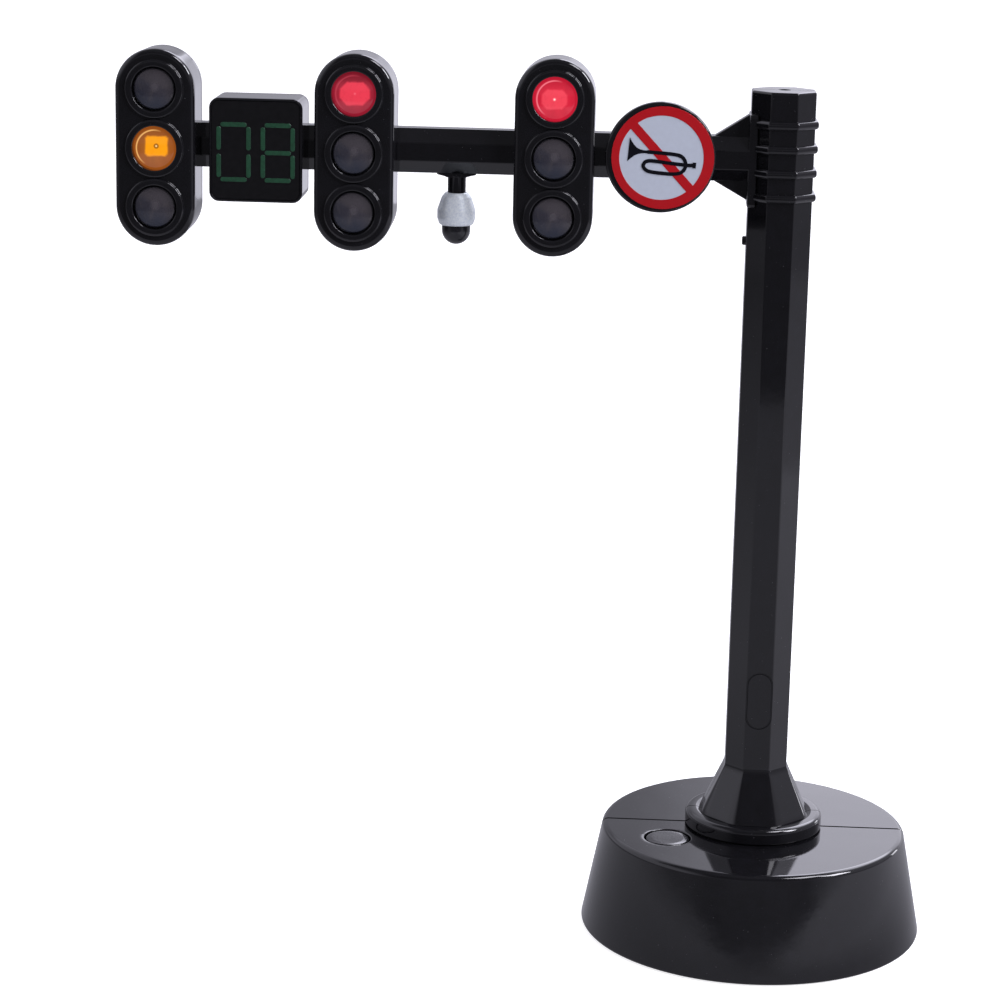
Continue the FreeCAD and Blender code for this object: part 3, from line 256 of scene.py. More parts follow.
def loft(name, rings, looped=False):
    """A closed solid through equal rings of points, capped at both ends or looped into a tube."""
    bm = bmesh.new()
    rows = [[bm.verts.new(p) for p in ring] for ring in rings]
    count = len(rows[0])
    pairs = list(zip(rows, rows[1:]))
    if looped:
        pairs.append((rows[-1], rows[0]))
    for low, high in pairs:
        for i in range(count):
            k = (i + 1) % count
            bm.faces.new((low[i], low[k], high[k], high[i]))
    if not looped:
        bm.faces.new(rows[0][::-1])
        bm.faces.new(rows[-1])
    return to_object(name, bm)


def lathe(name, profile, centre=(0, 0), facing="up", segments=96, looped=False):
    """A solid of revolution from (radius, position) points, about a vertical axis or one along Y."""
    bm = bmesh.new()
    rows = []
    for radius, position in profile:
        row = []
        for k in range(segments if radius > 0 else 1):
            angle = math.tau * (k + 0.5) / segments
            u = centre[0] + radius * math.cos(angle)
            v = centre[1] + radius * math.sin(angle)
            row.append(bm.verts.new((u, v, position) if facing == "up" else (u, position, v)))
        rows.append(row)
    pairs = list(zip(rows, rows[1:]))
    if looped:
        pairs.append((rows[-1], rows[0]))
    for low, high in pairs:
        for i in range(segments):
            k = (i + 1) % segments
            corners = [low[i % len(low)], low[k % len(low)], high[k % len(high)], high[i % len(high)]]
            face = []
            for corner in corners:
                if corner not in face:
                    face.append(corner)
            if len(face) > 2:
                bm.faces.new(face)
    return to_object(name, bm)


def rod(name, radius, low, high, centre=(0, 0), facing="up", segments=24):
    return lathe(name, [(0, low), (radius, low), (radius, high), (0, high)], centre, facing, segments)


def box(name, low, high):
    ring = [(low[0], low[1]), (high[0], low[1]), (high[0], high[1]), (low[0], high[1])]
    return loft(name, [flat(ring, low[2]), flat(ring, high[2])])


def beam(name, across, radius, start, end):
    """An octagonal bar along the arm's axis."""
    return loft(name, [crossing(octagon(across, radius), x) for x in (start, end)])


def combine(target, others, operation):
    """The target after exact booleans with the other objects, which are used up."""
    for other in others:
        modifier = target.modifiers.new("cut", "BOOLEAN")
        modifier.operation = operation
        modifier.solver = "EXACT"
        modifier.object = other
    graph = bpy.context.evaluated_depsgraph_get()
    mesh = bpy.data.meshes.new_from_object(target.evaluated_get(graph))
    target.modifiers.clear()
    target.data = mesh
    for other in others:
        bpy.data.objects.remove(other)
    return target


def cut(target, others):
    return combine(target, others, "DIFFERENCE")


def unite(target, others):
    return combine(target, others, "UNION")


def copy_of(obj, name, offset=(0, 0, 0), turn=None):
    mesh = obj.data.copy()
    if turn is not None:
        mesh.transform(turn)
    mesh.transform(Matrix.Translation(Vector(offset) * MM))
    return linked(name, mesh)


def joined(name, objs):
    """One object from several that don't touch."""
    bm = bmesh.new()
    for obj in objs:
        bm.from_mesh(obj.data)
        bpy.data.objects.remove(obj)
    mesh = bpy.data.meshes.new(name)
    bm.to_mesh(mesh)
    bm.free()
    return linked(name, mesh)


def soften(obj, width, angle=30, chosen=None, segments=2):
    """Rounds the sharp edges of a solid, or those of them that chosen(edge) accepts."""
    bm = bmesh.new()
    bm.from_mesh(obj.data)
    edges = []
    for edge in bm.edges:
        if len(edge.link_faces) == 2 and edge.calc_face_angle() > math.radians(angle):
            if chosen is None or chosen(edge):
                edges.append(edge)
    bmesh.ops.bevel(bm, geom=edges, offset=width * MM, segments=segments, profile=0.5, affect="EDGES",
                    clamp_overlap=True)
    bm.to_mesh(obj.data)
    bm.free()
    return obj


def halves(whole, front_name, rear_name, gap=SEAM_GAP):
    """Splits a solid along y = 0 into a front and a rear moulding with eased seam edges."""
    def on_seam(edge):
        return all(abs(abs(v.co.y) - gap / 2 * MM) < 1e-6 for v in edge.verts)

    reach = 200
    result = []
    for name, low_y, high_y in ((front_name, -reach, -gap / 2), (rear_name, gap / 2, reach)):
        part = copy_of(whole, name)
        combine(part, [box("half", (-reach, low_y, -reach), (reach, high_y, reach))], "INTERSECT")
        result.append(soften(part, SEAM_EASE, 30, on_seam, 1))
    bpy.data.objects.remove(whole)
    return result


def piece(obj, material, nodes=(), body="stand", angle=32, weighted=True):
    """Finishes a piece: material, smooth shading with crisp edges, its body and CAD nodes."""
    obj.data.materials.clear()
    obj.data.materials.append(material)
    obj.data.shade_smooth()
    obj.data.set_sharp_from_angle(angle=math.radians(angle))
    if weighted:
        modifier = obj.modifiers.new("weighted", "WEIGHTED_NORMAL")
        modifier.keep_sharp = True
    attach(obj, body)
    if nodes:
        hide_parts(*nodes)
    return obj


# ---- Materials ----
class Nodes:
    """A small helper around one node tree."""

    def __init__(self, tree):
        self.tree = tree

    def add(self, kind, **values):
        node = self.tree.nodes.new(kind)
        for key, value in values.items():
            setattr(node, key, value)
        return node

    def link(self, source, target):
        self.tree.links.new(source, target)

    def split(self, source):
        node = self.add("ShaderNodeSeparateXYZ")
        self.link(source, node.inputs["Vector"])
        return node.outputs

    def math(self, operation, a, b=None):
        node = self.add("ShaderNodeMath", operation=operation)
        for socket, value in zip(node.inputs, (a, b)):
            if isinstance(value, (int, float)):
                socket.default_value = value
            elif value is not None:
                self.link(value, socket)
        return node.outputs["Value"]

    def plus(self, a, b):
        return self.math("ADD", a, b)

    def minus(self, a, b):
        return self.math("SUBTRACT", a, b)

    def times(self, a, b):
        return self.math("MULTIPLY", a, b)

    def distance(self, a, b):
        return self.math("SQRT", self.plus(self.times(a, a), self.times(b, b)))

    def spread(self, source, low, high, start=0.0, end=1.0, **values):
        """Maps a value from start..end to low..high, clamped."""
        node = self.add("ShaderNodeMapRange", **values)
        for key, value in (("From Min", start), ("From Max", end), ("To Min", low), ("To Max", high)):
            node.inputs[key].default_value = value
        self.link(source, node.inputs["Value"])
        return node.outputs["Result"]

    def ramp(self, source, stops):
        node = self.add("ShaderNodeValToRGB")
        elements = node.color_ramp.elements
        while len(elements) < len(stops):
            elements.new(0.5)
        for element, (position, colour) in zip(elements, stops):
            element.position = position
            element.color = (*colour, 1.0)
        self.link(source, node.inputs["Fac"])
        return node.outputs["Color"]


class Shader(Nodes):
    """One new material around the Principled shader."""

    def __init__(self, name):
        self.material = bpy.data.materials.new(name)
        self.material.use_nodes = True
        super().__init__(self.material.node_tree)
        self.bsdf = self.tree.nodes["Principled BSDF"]
        self.place = self.add("ShaderNodeTexCoord").outputs["Object"]

    def feed(self, socket, source):
        self.link(source, self.bsdf.inputs[socket])

    def set(self, **values):
        for key, value in values.items():
            self.bsdf.inputs[key.replace("_", " ")].default_value = value

    def noise(self, scale, detail=2.0, roughness=0.5, stretch=None):
        node = self.add("ShaderNodeTexNoise")
        node.inputs["Scale"].default_value = scale
        node.inputs["Detail"].default_value = detail
        node.inputs["Roughness"].default_value = roughness
        source = self.place
        if stretch:
            mapping = self.add("ShaderNodeMapping")
            mapping.inputs["Scale"].default_value = stretch
            self.link(self.place, mapping.inputs["Vector"])
            source = mapping.outputs["Vector"]
        self.link(source, node.inputs["Vector"])
        return node.outputs["Fac"]

    def polish(self, scale, low, high):
        """Roughness that varies softly between two values."""
        self.feed("Roughness", self.spread(self.noise(scale, 3), low, high))

    def lens_place(self):
        """Millimetres to the right of, above and from the axis of a lens whose origin is its apex."""
        place = self.split(self.place)
        x = self.times(place["X"], 1000)
        z = self.times(place["Z"], 1000)
        return x, z, self.distance(x, z)

    def mix(self, factor, a, b):
        node = self.add("ShaderNodeMix", data_type="RGBA")
        self.link(factor, node.inputs["Factor"])
        for index, value in ((6, a), (7, b)):
            if isinstance(value, tuple):
                node.inputs[index].default_value = (*value, 1.0)
            else:
                self.link(value, node.inputs[index])
        return node.outputs[2]

    def bump(self, height, strength, distance):
        node = self.add("ShaderNodeBump")
        node.inputs["Strength"].default_value = strength
        node.inputs["Distance"].default_value = distance
        self.link(height, node.inputs["Height"])
        self.feed("Normal", node.outputs["Normal"])


def linear(rgb):
    """Linear colour from display values of 0 to 255."""
    return tuple((c / 255 / 12.92) if c < 11 else ((c / 255 + 0.055) / 1.055) ** 2.4 for c in rgb)


def black_plastic(name, level=0.0056, roughness=0.065, wave=1.0, specks=0.7):
    """Glossy black ABS: slight moulding waviness, a few dust specks and softly varying polish."""
    s = Shader(name)
    grain = s.noise(420, 3)
    dust = s.spread(s.noise(1900, 2, 0.6), 0.0, 1.0, 0.735, 0.765)
    tone = s.ramp(grain, [(0.3, (level * 0.9, level * 0.88, level * 1.02)),
                          (0.7, (level * 1.12, level * 1.1, level * 1.35))])
    s.feed("Base Color", s.mix(s.times(dust, specks), tone, (0.07, 0.07, 0.075)))
    scuff = s.spread(s.noise(95, 5, 0.62), roughness * 0.75, roughness * 1.5, 0.35, 0.7)
    s.feed("Roughness", s.plus(scuff, s.times(dust, 0.3)))
    sag = s.noise(60, 1.5)
    peel = s.noise(700, 2)
    s.bump(s.plus(sag, s.times(peel, 0.05)), 0.5 * wave, 0.00012)
    s.set(IOR=1.5, Specular_IOR_Level=0.5)
    return s.material


def matt_black(name):
    s = Shader(name)
    tone = s.ramp(s.noise(900, 4, 0.6), [(0.3, (0.0028, 0.0028, 0.0032)), (0.75, (0.0055, 0.0053, 0.006))])
    s.feed("Base Color", tone)
    s.polish(300, 0.42, 0.6)
    s.bump(s.noise(2600, 3, 0.6), 0.35, 0.00003)
    s.set(Specular_IOR_Level=0.18)
    return s.material


def smoke_lens(name):
    """Smoky clear plastic: browner above, bluer below, with the dark lamp showing faintly at the middle."""
    s = Shader(name)
    x, z, radius = s.lens_place()
    blotch = s.times(s.minus(s.noise(330, 3), 0.5), 5.0)
    height = s.plus(s.plus(z, s.times(x, 0.4)), blotch)
    tone = s.mix(s.spread(height, 0.0, 1.0, -2.9, 1.3), (0.013, 0.018, 0.037), (0.056, 0.049, 0.055))
    lamp = s.distance(s.minus(x, 0.15), s.minus(z, 0.35))
    tone = s.mix(s.spread(lamp, 0.6, 0.0, 0.4, 1.2), tone, (0.1, 0.09, 0.098))
    tone = s.mix(s.spread(s.noise(900, 3, 0.6), 0.0, 0.4, 0.56, 0.7), tone, (0.085, 0.076, 0.078))
    # Painted shade: the lens darkens to near black towards its rim, where it sits deep in the collar.
    s.feed("Base Color", s.mix(s.spread(radius, 0.0, 1.0, 3.76, 4.06), tone, (0.011, 0.011, 0.014)))
    s.polish(220, 0.16, 0.3)
    s.bump(s.noise(900, 2), 0.25, 0.00004)
    s.set(Alpha=0.88, IOR=1.5, Coat_Weight=0.3, Coat_Roughness=0.08)
    return s.material


def lit_lens(name, core, body, edge, package, square, offset, shade_top, arc, dot):
    """A lit lens: the glowing lamp package, a saturated body, a moulded rim line and a small dot."""
    s = Shader(name)
    x, z, radius = s.lens_place()
    ripple = s.minus(s.noise(420, 3), 0.5)
    from_x = s.minus(x, offset[0])
    from_z = s.minus(z, offset[1])
    across = s.math("ABSOLUTE", s.plus(from_x, s.times(ripple, 0.5)))
    upward = s.math("ABSOLUTE", s.plus(from_z, s.times(ripple, 0.6)))
    middle = s.distance(from_x, from_z)
    corner = s.times(s.plus(across, upward), square)
    outside = s.math("MAXIMUM", s.minus(across, package[0]), s.minus(upward, package[1]))
    outside = s.math("MAXIMUM", outside, s.minus(corner, package[0]))
    patch = s.spread(outside, 1.0, 0.0, -0.12, 0.3)
    wide = s.spread(s.plus(radius, ripple), 0.0, 1.0, 1.8, 4.0)
    glow = s.mix(wide, body, edge)
    top = s.spread(s.plus(z, s.times(ripple, 0.8)), 0.0, shade_top, 1.6, 2.9)
    glow = s.mix(top, glow, tuple(c * 0.35 for c in body))
    streaks = s.spread(s.noise(800, 3, 0.6, (1.0, 1.0, 0.3)), 0.0, 0.3, 0.45, 0.7)
    glow = s.mix(streaks, glow, tuple(c * 0.6 for c in body))
    bright = s.mix(s.spread(s.noise(1300, 2), 0.0, 0.35, 0.5, 0.7), core, tuple(c * 0.8 for c in core))
    colour = s.mix(patch, glow, bright)
    line = s.spread(s.math("ABSOLUTE", s.minus(radius, 3.62)), arc[0], 0.0, 0.07, 0.2)
    side = s.spread(s.minus(s.times(z, 0.5), x), 0.0, 1.0, 0.2, 2.4)
    colour = s.mix(s.times(line, side), colour, arc[1])
    colour = s.mix(s.spread(middle, dot[2], 0.0, dot[0], dot[0] + 0.22), colour, dot[1])
    colour = s.mix(s.spread(middle, dot[4], 0.0, 0.1, 0.26), colour, dot[3])
    s.feed("Emission Color", colour)
    s.feed("Base Color", s.mix(patch, tuple(c * 0.2 for c in body), tuple(c * 0.2 for c in core)))
    s.polish(300, 0.1, 0.2)
    s.bump(s.noise(700, 2), 0.3, 0.00005)
    s.set(Emission_Strength=0.95, IOR=1.5, Coat_Weight=0.3, Coat_Roughness=0.06)
    return s.material


def plain(name, colour, roughness, metallic=0.0, contrast=0.12, grain=500, bump=0.2, depth=0.00002,
          gloss=0.5):
    """A general moulded, painted or metal surface with slight colour, polish and height variation."""
    s = Shader(name)
    low = tuple(c * (1 - contrast) for c in colour)
    high = tuple(min(1.0, c * (1 + contrast)) for c in colour)
    pattern = s.noise(grain, 4, 0.6)
    s.feed("Base Color", s.ramp(pattern, [(0.3, low), (0.7, high)]))
    s.polish(grain * 0.4, roughness * 0.8, roughness * 1.25)
    s.bump(s.noise(grain * 3, 3, 0.5), bump, depth)
    s.set(Metallic=metallic, Specular_IOR_Level=gloss)
    return s.material


def cell_sleeve():
    """A battery sleeve: a dark wrap with a coppery band at the positive end, on object X."""
    s = Shader("cell_sleeve")
    band = s.spread(s.split(s.place)["X"], 0.0, 1.0, 0.0090, 0.0092)
    grain = s.noise(700, 3, 0.6)
    dark = s.ramp(grain, [(0.3, (0.012, 0.013, 0.016)), (0.7, (0.02, 0.021, 0.026))])
    bright = s.ramp(grain, [(0.3, (0.42, 0.19, 0.07)), (0.7, (0.5, 0.24, 0.09))])
    s.feed("Base Color", s.mix(band, dark, bright))
    s.polish(250, 0.22, 0.34)
    s.bump(s.noise(1800, 3), 0.2, 0.00002)
    s.set(Metallic=0.35, Coat_Weight=0.5, Coat_Roughness=0.1)
    return s.material


BLACK = black_plastic("black_abs")
BUTTON_BLACK = black_plastic("button_black", 0.006, 0.16, 0.7)
UNDER_BLACK = black_plastic("under_black", 0.006, 0.3, 0.6)
MATT = matt_black("display_black")
SMOKE = smoke_lens("smoke_lens")
RED_MIDDLE = lit_lens("lit_red_middle", linear((228, 58, 78)), linear((176, 38, 58)), linear((148, 26, 46)),
                      (2.9, 2.15), 0.78, (0.25, 0.1), 0.75, (0.25, linear((236, 86, 106))),
                      (0.2, linear((240, 90, 110)), 0.3, linear((245, 120, 135)), 0.4))
RED_INNER = lit_lens("lit_red_inner", linear((236, 66, 84)), linear((214, 36, 60)), linear((204, 28, 54)),
                     (2.4, 1.8), 0.74, (-0.1, 0.0), 0.25, (0.85, linear((252, 130, 145))),
                     (0.25, linear((250, 120, 132)), 0.7, linear((255, 240, 235)), 1.0))
AMBER = lit_lens("lit_amber", linear((252, 158, 12)), linear((160, 92, 34)), linear((152, 78, 24)),
                 (2.15, 1.85), 0.6, (0.45, 0.5), 0.15, (1.0, linear((242, 182, 104))),
                 (0.42, linear((132, 80, 14)), 0.95, linear((252, 222, 165)), 1.0))
GREEN_SEGMENT = plain("segment_green", linear((26, 68, 45)), 0.35, contrast=0.25, grain=1500)
SIGN_WHITE = plain("sign_white", (0.5, 0.54, 0.615), 0.36, contrast=0.03, grain=900)
SIGN_RED = plain("sign_red", (0.44, 0.001, 0.006), 0.34, contrast=0.03, grain=900)
SIGN_BLACK = plain("sign_black", (0.002, 0.002, 0.005), 0.55, contrast=0.2, grain=900, gloss=0.15)
SILVER = plain("silver_paint", (0.82, 0.9, 0.98), 0.34, 0.2, contrast=0.16, grain=2600, bump=0.25,
               depth=0.00003)
DOME_BLACK = black_plastic("dome_black", 0.012, 0.08, 0.4)
STEEL = plain("steel", (0.42, 0.42, 0.43), 0.28, 1.0, contrast=0.1, grain=1200)
NICKEL = plain("nickel", (0.6, 0.57, 0.5), 0.22, 1.0, contrast=0.08, grain=900)
BOARD_GREEN = plain("board", (0.02, 0.1, 0.04), 0.35, contrast=0.2, grain=500)
LED_BOARD = plain("led_board", (0.16, 0.15, 0.15), 0.5, contrast=0.1, grain=700)
LED_BODY = plain("led_body", (0.34, 0.3, 0.26), 0.4, contrast=0.08, grain=1400)
CHIP = plain("chip_black", (0.01, 0.01, 0.01), 0.35, contrast=0.25, grain=800)
COMPONENT = plain("component", (0.3, 0.27, 0.22), 0.4, contrast=0.2, grain=1400)
WIRE = plain("wire", (0.4, 0.02, 0.02), 0.4, contrast=0.1, grain=700)
CELL = cell_sleeve()


# ---- Base ----
def build_base():
    slope = (BASE_RIM_R - BASE_TOP_R) / (BASE_TOP_Z - BASE_RIM_Z)
    under = BASE_TOP_Z - BASE_WALL
    in_top = BASE_TOP_R - BASE_WALL + slope * BASE_WALL
    in_rim = BASE_RIM_R - BASE_WALL
    hole = SPIGOT_R + 0.05
    ledge_low = 3.4
    ledge_high = 4.6
    profile = rounded([
        (hole, BASE_TOP_Z, 0.1), (BASE_TOP_R, BASE_TOP_Z, 1.3), (BASE_RIM_R, BASE_RIM_Z, 0.6),
        (in_rim, BASE_RIM_Z, 0.2), (in_rim - slope * ledge_low, ledge_low, 0), (32.2, ledge_low, 0.1),
        (32.2, ledge_high, 0.1), (in_rim - slope * ledge_high, ledge_high, 0.2), (in_top, under, 0.8),
        (hole, under, 0.1)], 6, True)
    shell = lathe("base", profile, segments=160, looped=True)
    flare = rounded([(0, 15, 0), (BUTTON_HOLE_R, 15, 0), (BUTTON_HOLE_R, BASE_TOP_Z, 0.22),
                     (BUTTON_HOLE_R + OVER, BASE_TOP_Z, 0), (BUTTON_HOLE_R + OVER, BASE_TOP_Z + OVER, 0),
                     (0, BASE_TOP_Z + OVER, 0)], 4)
    cut(shell, [lathe("hole", flare, (BUTTON_X, BUTTON_Y), segments=64)])
    front, rear = halves(shell, "base_front", "base_rear", BASE_SEAM_GAP)
    for part, side in ((front, -1), (rear, 1)):
        bosses = []
        for x in (-BASE_SCREW_AT, BASE_SCREW_AT):
            post = rounded([(0.9, 3.4, 0), (2.6, 3.4, 0.2), (2.6, under + 0.5, 0), (0.9, under + 0.5, 0)],
                           3, True)
            bosses.append(lathe("boss", post, (x, side * BASE_SCREW_AT), segments=32, looped=True))
        unite(part, bosses)
    piece(front, BLACK, ["base_front_shell"])
    piece(rear, BLACK, ["base_rear_shell"])

    cap = rounded([(0, 18.6, 0), (1.8, 18.6, 0.1), (1.8, 18.9, 0), (5.9, 18.9, 0.1), (5.9, 20.0, 0.1),
                   (BUTTON_R, 20.0, 0), (BUTTON_R, 22.1, 0.45), (3.4, BASE_TOP_Z, 1.5), (0, BASE_TOP_Z, 0)],
                  6)
    button = lathe("button_cap", cap, (BUTTON_X, BUTTON_Y), segments=72)
    piece(button, BUTTON_BLACK, ["mode_button"], "mode_button")


# ---- Mast ----
def build_mast():
    cone_height = CONE_TOP_Z - DISC_TOP_Z
    stations = [(DISC_TOP_Z - 1.2, CONE_ACROSS, CONE_CORNER_R)]
    for k in range(9):
        share = k / 9
        stations.append((DISC_TOP_Z + cone_height * share, CONE_ACROSS + (MAST_ACROSS - CONE_ACROSS) * share,
                         CONE_CORNER_R + (MAST_EDGE - CONE_CORNER_R) * share))
    stations.append((CONE_TOP_Z - 0.05, MAST_ACROSS + 0.16, MAST_EDGE))
    stations.append((CONE_TOP_Z + 0.5, MAST_ACROSS + 0.03, MAST_EDGE))
    stations.append((CONE_TOP_Z + 1.1, MAST_ACROSS, MAST_EDGE))
    for inset, drop in edge_rings(MAST_EDGE):
        stations.append((MAST_TOP_Z - drop, MAST_ACROSS - 2 * inset, MAST_EDGE))
    mast = loft("mast", [flat(octagon(across, radius, 8), z) for z, across, radius in stations])

    foot = rounded([
        (0, SPIGOT_LOW_Z, 0), (SPIGOT_R, SPIGOT_LOW_Z, 0.2), (SPIGOT_R, 18.6, 0), (11.0, 18.6, 0.1),
        (11.0, 20.1, 0.1), (SPIGOT_R, 20.1, 0), (SPIGOT_R, BASE_TOP_Z + 0.02, 0),
        (COLLAR_R, BASE_TOP_Z + 0.02, 0.1), (COLLAR_R, DISC_LOW_Z, 0.1), (DISC_R, DISC_LOW_Z, 0.25),
        (DISC_R, DISC_TOP_Z, 1.1), (12.0, DISC_TOP_Z, 1.2), (11.2, DISC_TOP_Z - 0.3, 0.1),
        (10.0, DISC_TOP_Z - 0.3, 0), (0, DISC_TOP_Z, 0)], 6)
    bands = []
    for i in range(BAND_COUNT):
        middle = ARM_Z + (i - (BAND_COUNT - 1) / 2) * BAND_PITCH
        edge = [(BAND_ACROSS - 2 * inset, BAND_HEIGHT / 2 - drop) for inset, drop in edge_rings(0.7)]
        low = [flat(octagon(across), middle - reach) for across, reach in edge[::-1]]
        bands.append(loft("band", low + [flat(octagon(across), middle + reach) for across, reach in edge]))
    edge_x = -MAST_ACROSS / 2
    nub = soften(box("nub", (edge_x - 0.8, -0.6, NUB_Z - 0.9), (edge_x + 0.5, 0.6, NUB_Z + 0.9)), 0.3)
    unite(mast, [lathe("foot", foot, segments=128), nub] + bands)

    bore = [flat(octagon(9.3, 0.3), z) for z in (SPIGOT_LOW_Z - OVER, MAST_TOP_Z - 1.8)]
    wide = rod("wide", 6.6, SPIGOT_LOW_Z - OVER, 27.0, segments=64)
    hole = loft("arm_hole", [crossing(octagon(6.9, 2.7, 6), x) for x in (-20, 0)])
    seat = rectangle(2 * FLANGE_HALF_WIDTH + 0.16, FLANGE_HIGH_Z - FLANGE_LOW_Z + 0.16, 0.45)
    seat_cut = loft("seat", [crossing(seat, x, FLANGE_Z) for x in (-20, FLANGE_SEAT_X)])
    groove = []
    for inset, depth in ((-0.12, -0.3), (0.02, 0), (0.12, 0.22), (0.3, 0.22), (0.4, 0), (0.54, -0.3)):
        outline = stadium(MARK_WIDTH - 2 * inset, MARK_HEIGHT - 2 * inset)
        groove.append(standing(outline, depth - MAST_ACROSS / 2, 0, MARK_Z))
    scar = rounded([(0, MAST_TOP_Z - 0.22, 0), (1.15, MAST_TOP_Z - 0.22, 0.1), (1.4, MAST_TOP_Z, 0.1),
                    (1.6, MAST_TOP_Z + OVER, 0), (0, MAST_TOP_Z + OVER, 0)], 4)
    cut(mast, [loft("bore", bore), wide, hole, seat_cut, loft("mark", groove, looped=True),
               lathe("gate", scar, segments=40)])
    front_half, rear_half = halves(mast, "mast_front", "mast_rear")
    piece(front_half, BLACK, ["mast_front_shell"])
    piece(rear_half, BLACK, ["mast_rear_shell"])


# ---- Arm ----
def build_arm():
    stations = [(ARM_START_X + 0.3, ARM_ACROSS)]
    for inset, drop in edge_rings(ARM_EDGE):
        stations.append((ARM_END_X + drop, ARM_ACROSS - 2 * inset))
    arm = loft("arm", [crossing(octagon(across, ARM_EDGE), x) for x, across in stations])

    plate = []
    for inset, x in ((0.1, FLANGE_SEAT_X - 0.02), (0, FLANGE_SEAT_X - 0.12), (0, ARM_START_X + 0.45),
                     (0.13, ARM_START_X + 0.13), (0.45, ARM_START_X)):
        outline = rectangle(2 * (FLANGE_HALF_WIDTH - inset), FLANGE_HIGH_Z - FLANGE_LOW_Z - 2 * inset, 0.7)
        plate.append(crossing(outline, x, FLANGE_Z))
    webs = []
    for direction, height in ((1, GUSSET_UP), (-1, GUSSET_DOWN)):
        root = ARM_Z + direction * (ARM_ACROSS / 2 - OVER)
        face = ARM_Z + direction * ARM_ACROSS / 2
        corners = [(ARM_START_X + 0.5, root), (ARM_START_X + 0.5, face + direction * height),
                   (ARM_START_X, face + direction * height), (ARM_START_X - GUSSET_LENGTH, face),
                   (ARM_START_X - GUSSET_LENGTH, root)]
        sides = [[(x, y, z) for x, z in corners] for y in (-GUSSET_HALF_WIDTH, GUSSET_HALF_WIDTH)]
        webs.append(soften(loft("web", sides), 0.25))
    tube = loft("spigot", [crossing(circle(3.4), x) for x in (ARM_START_X + 0.3, -3.75)])
    unite(arm, [loft("plate", plate), tube] + webs)

    bores = [beam("arm_bore", 6.0, 0.3, ARM_START_X, ARM_END_X + 1.5),
             loft("inner", [crossing(circle(2.2), x) for x in (ARM_START_X - OVER, 0)])]
    holes = [rod("pin_hole", 1.25, -8, 0, (SIGN_X, SIGN_Z), "front"),
             rod("camera_hole", 0.95, 150, ARM_Z, (CAMERA_X, 0))]
    for x in list(HEAD_X.values()) + [DISPLAY_X]:
        holes.append(rod("wire_hole", 0.8, -8, 0, (x, ARM_Z), "front"))
    cut(arm, bores + holes)
    front, rear = halves(arm, "arm_front", "arm_rear")

    plates = []
    cuts = []
    places = [(x, HEAD_WIDTH - 2 * HOUSING_STEP, HEAD_HEIGHT - 2 * HOUSING_STEP, 10, HEAD_SCREW_Z)
              for x in HEAD_X.values()]
    places.append((DISPLAY_X, DISPLAY_WIDTH, DISPLAY_HEIGHT, DISPLAY_CORNER, DISPLAY_SCREW_Z))
    for x, width, height, corner, screw_z in places:
        rings = []
        for inset, y in ((0.15, 0), (0, 0.15), (0, BACK_PLATE - 0.4), (0.12, BACK_PLATE - 0.12),
                         (0.4, BACK_PLATE)):
            outline = rectangle(width - 2 * inset, height - 2 * inset, min(corner, width / 2) - inset, 16)
            rings.append(standing(outline, y, x))
        plates.append(loft("back", rings))
        for sign in (-1, 1):
            seat = rounded([(0, -3, 0), (0.85, -3, 0), (0.85, BACK_PLATE - 1, 0), (1.65, BACK_PLATE - 1, 0),
                            (1.65, BACK_PLATE, 0.12), (2.6, BACK_PLATE, 0), (2.6, 3, 0), (0, 3, 0)], 3)
            cuts.append(lathe("seat", seat, (x, ARM_Z + sign * screw_z), "front", 40))
    unite(rear, plates)
    cut(rear, cuts + [beam("channel", 5.9, 0.3, ARM_START_X, ARM_END_X + 1.6)])
    piece(front, BLACK, ["arm_front_shell"])
    piece(rear, BLACK, ["arm_rear_shell"])


def screw(name, head_r, head_height, shank_r, length):
    """A pan-head screw along +Z with its head on top at z = 0, a cross recess and a threaded shank."""
    profile = [(0, -length), (shank_r * 0.35, -length), (shank_r * 0.8, -length + 0.6)]
    turns = int((length - head_height - 0.8) / 0.4)
    for i in range(turns):
        z = -length + 0.7 + i * 0.4
        profile += [(shank_r * 0.78, z), (shank_r, z + 0.14), (shank_r * 0.78, z + 0.28)]
    profile += [(shank_r * 0.8, -head_height)]
    profile += rounded([(shank_r * 0.8, -head_height, 0), (head_r, -head_height, 0.12),
                        (head_r * 0.97, -0.12, 0.3), (head_r * 0.45, 0, 0.6), (0, 0, 0)], 4)[1:]
    body = lathe(name, profile, segments=32)
    arm_half = head_r * 0.58
    arms = []
    for wide, deep in ((arm_half, 0.17), (0.17, arm_half)):
        high = [(-wide, -deep), (wide, -deep), (wide, deep), (-wide, deep)]
        low = [(u * 0.6, v * 0.6) for u, v in high]
        arms.append(loft("slot", [flat(low, -0.55), flat(high, 0.4)]))
    return cut(body, arms)


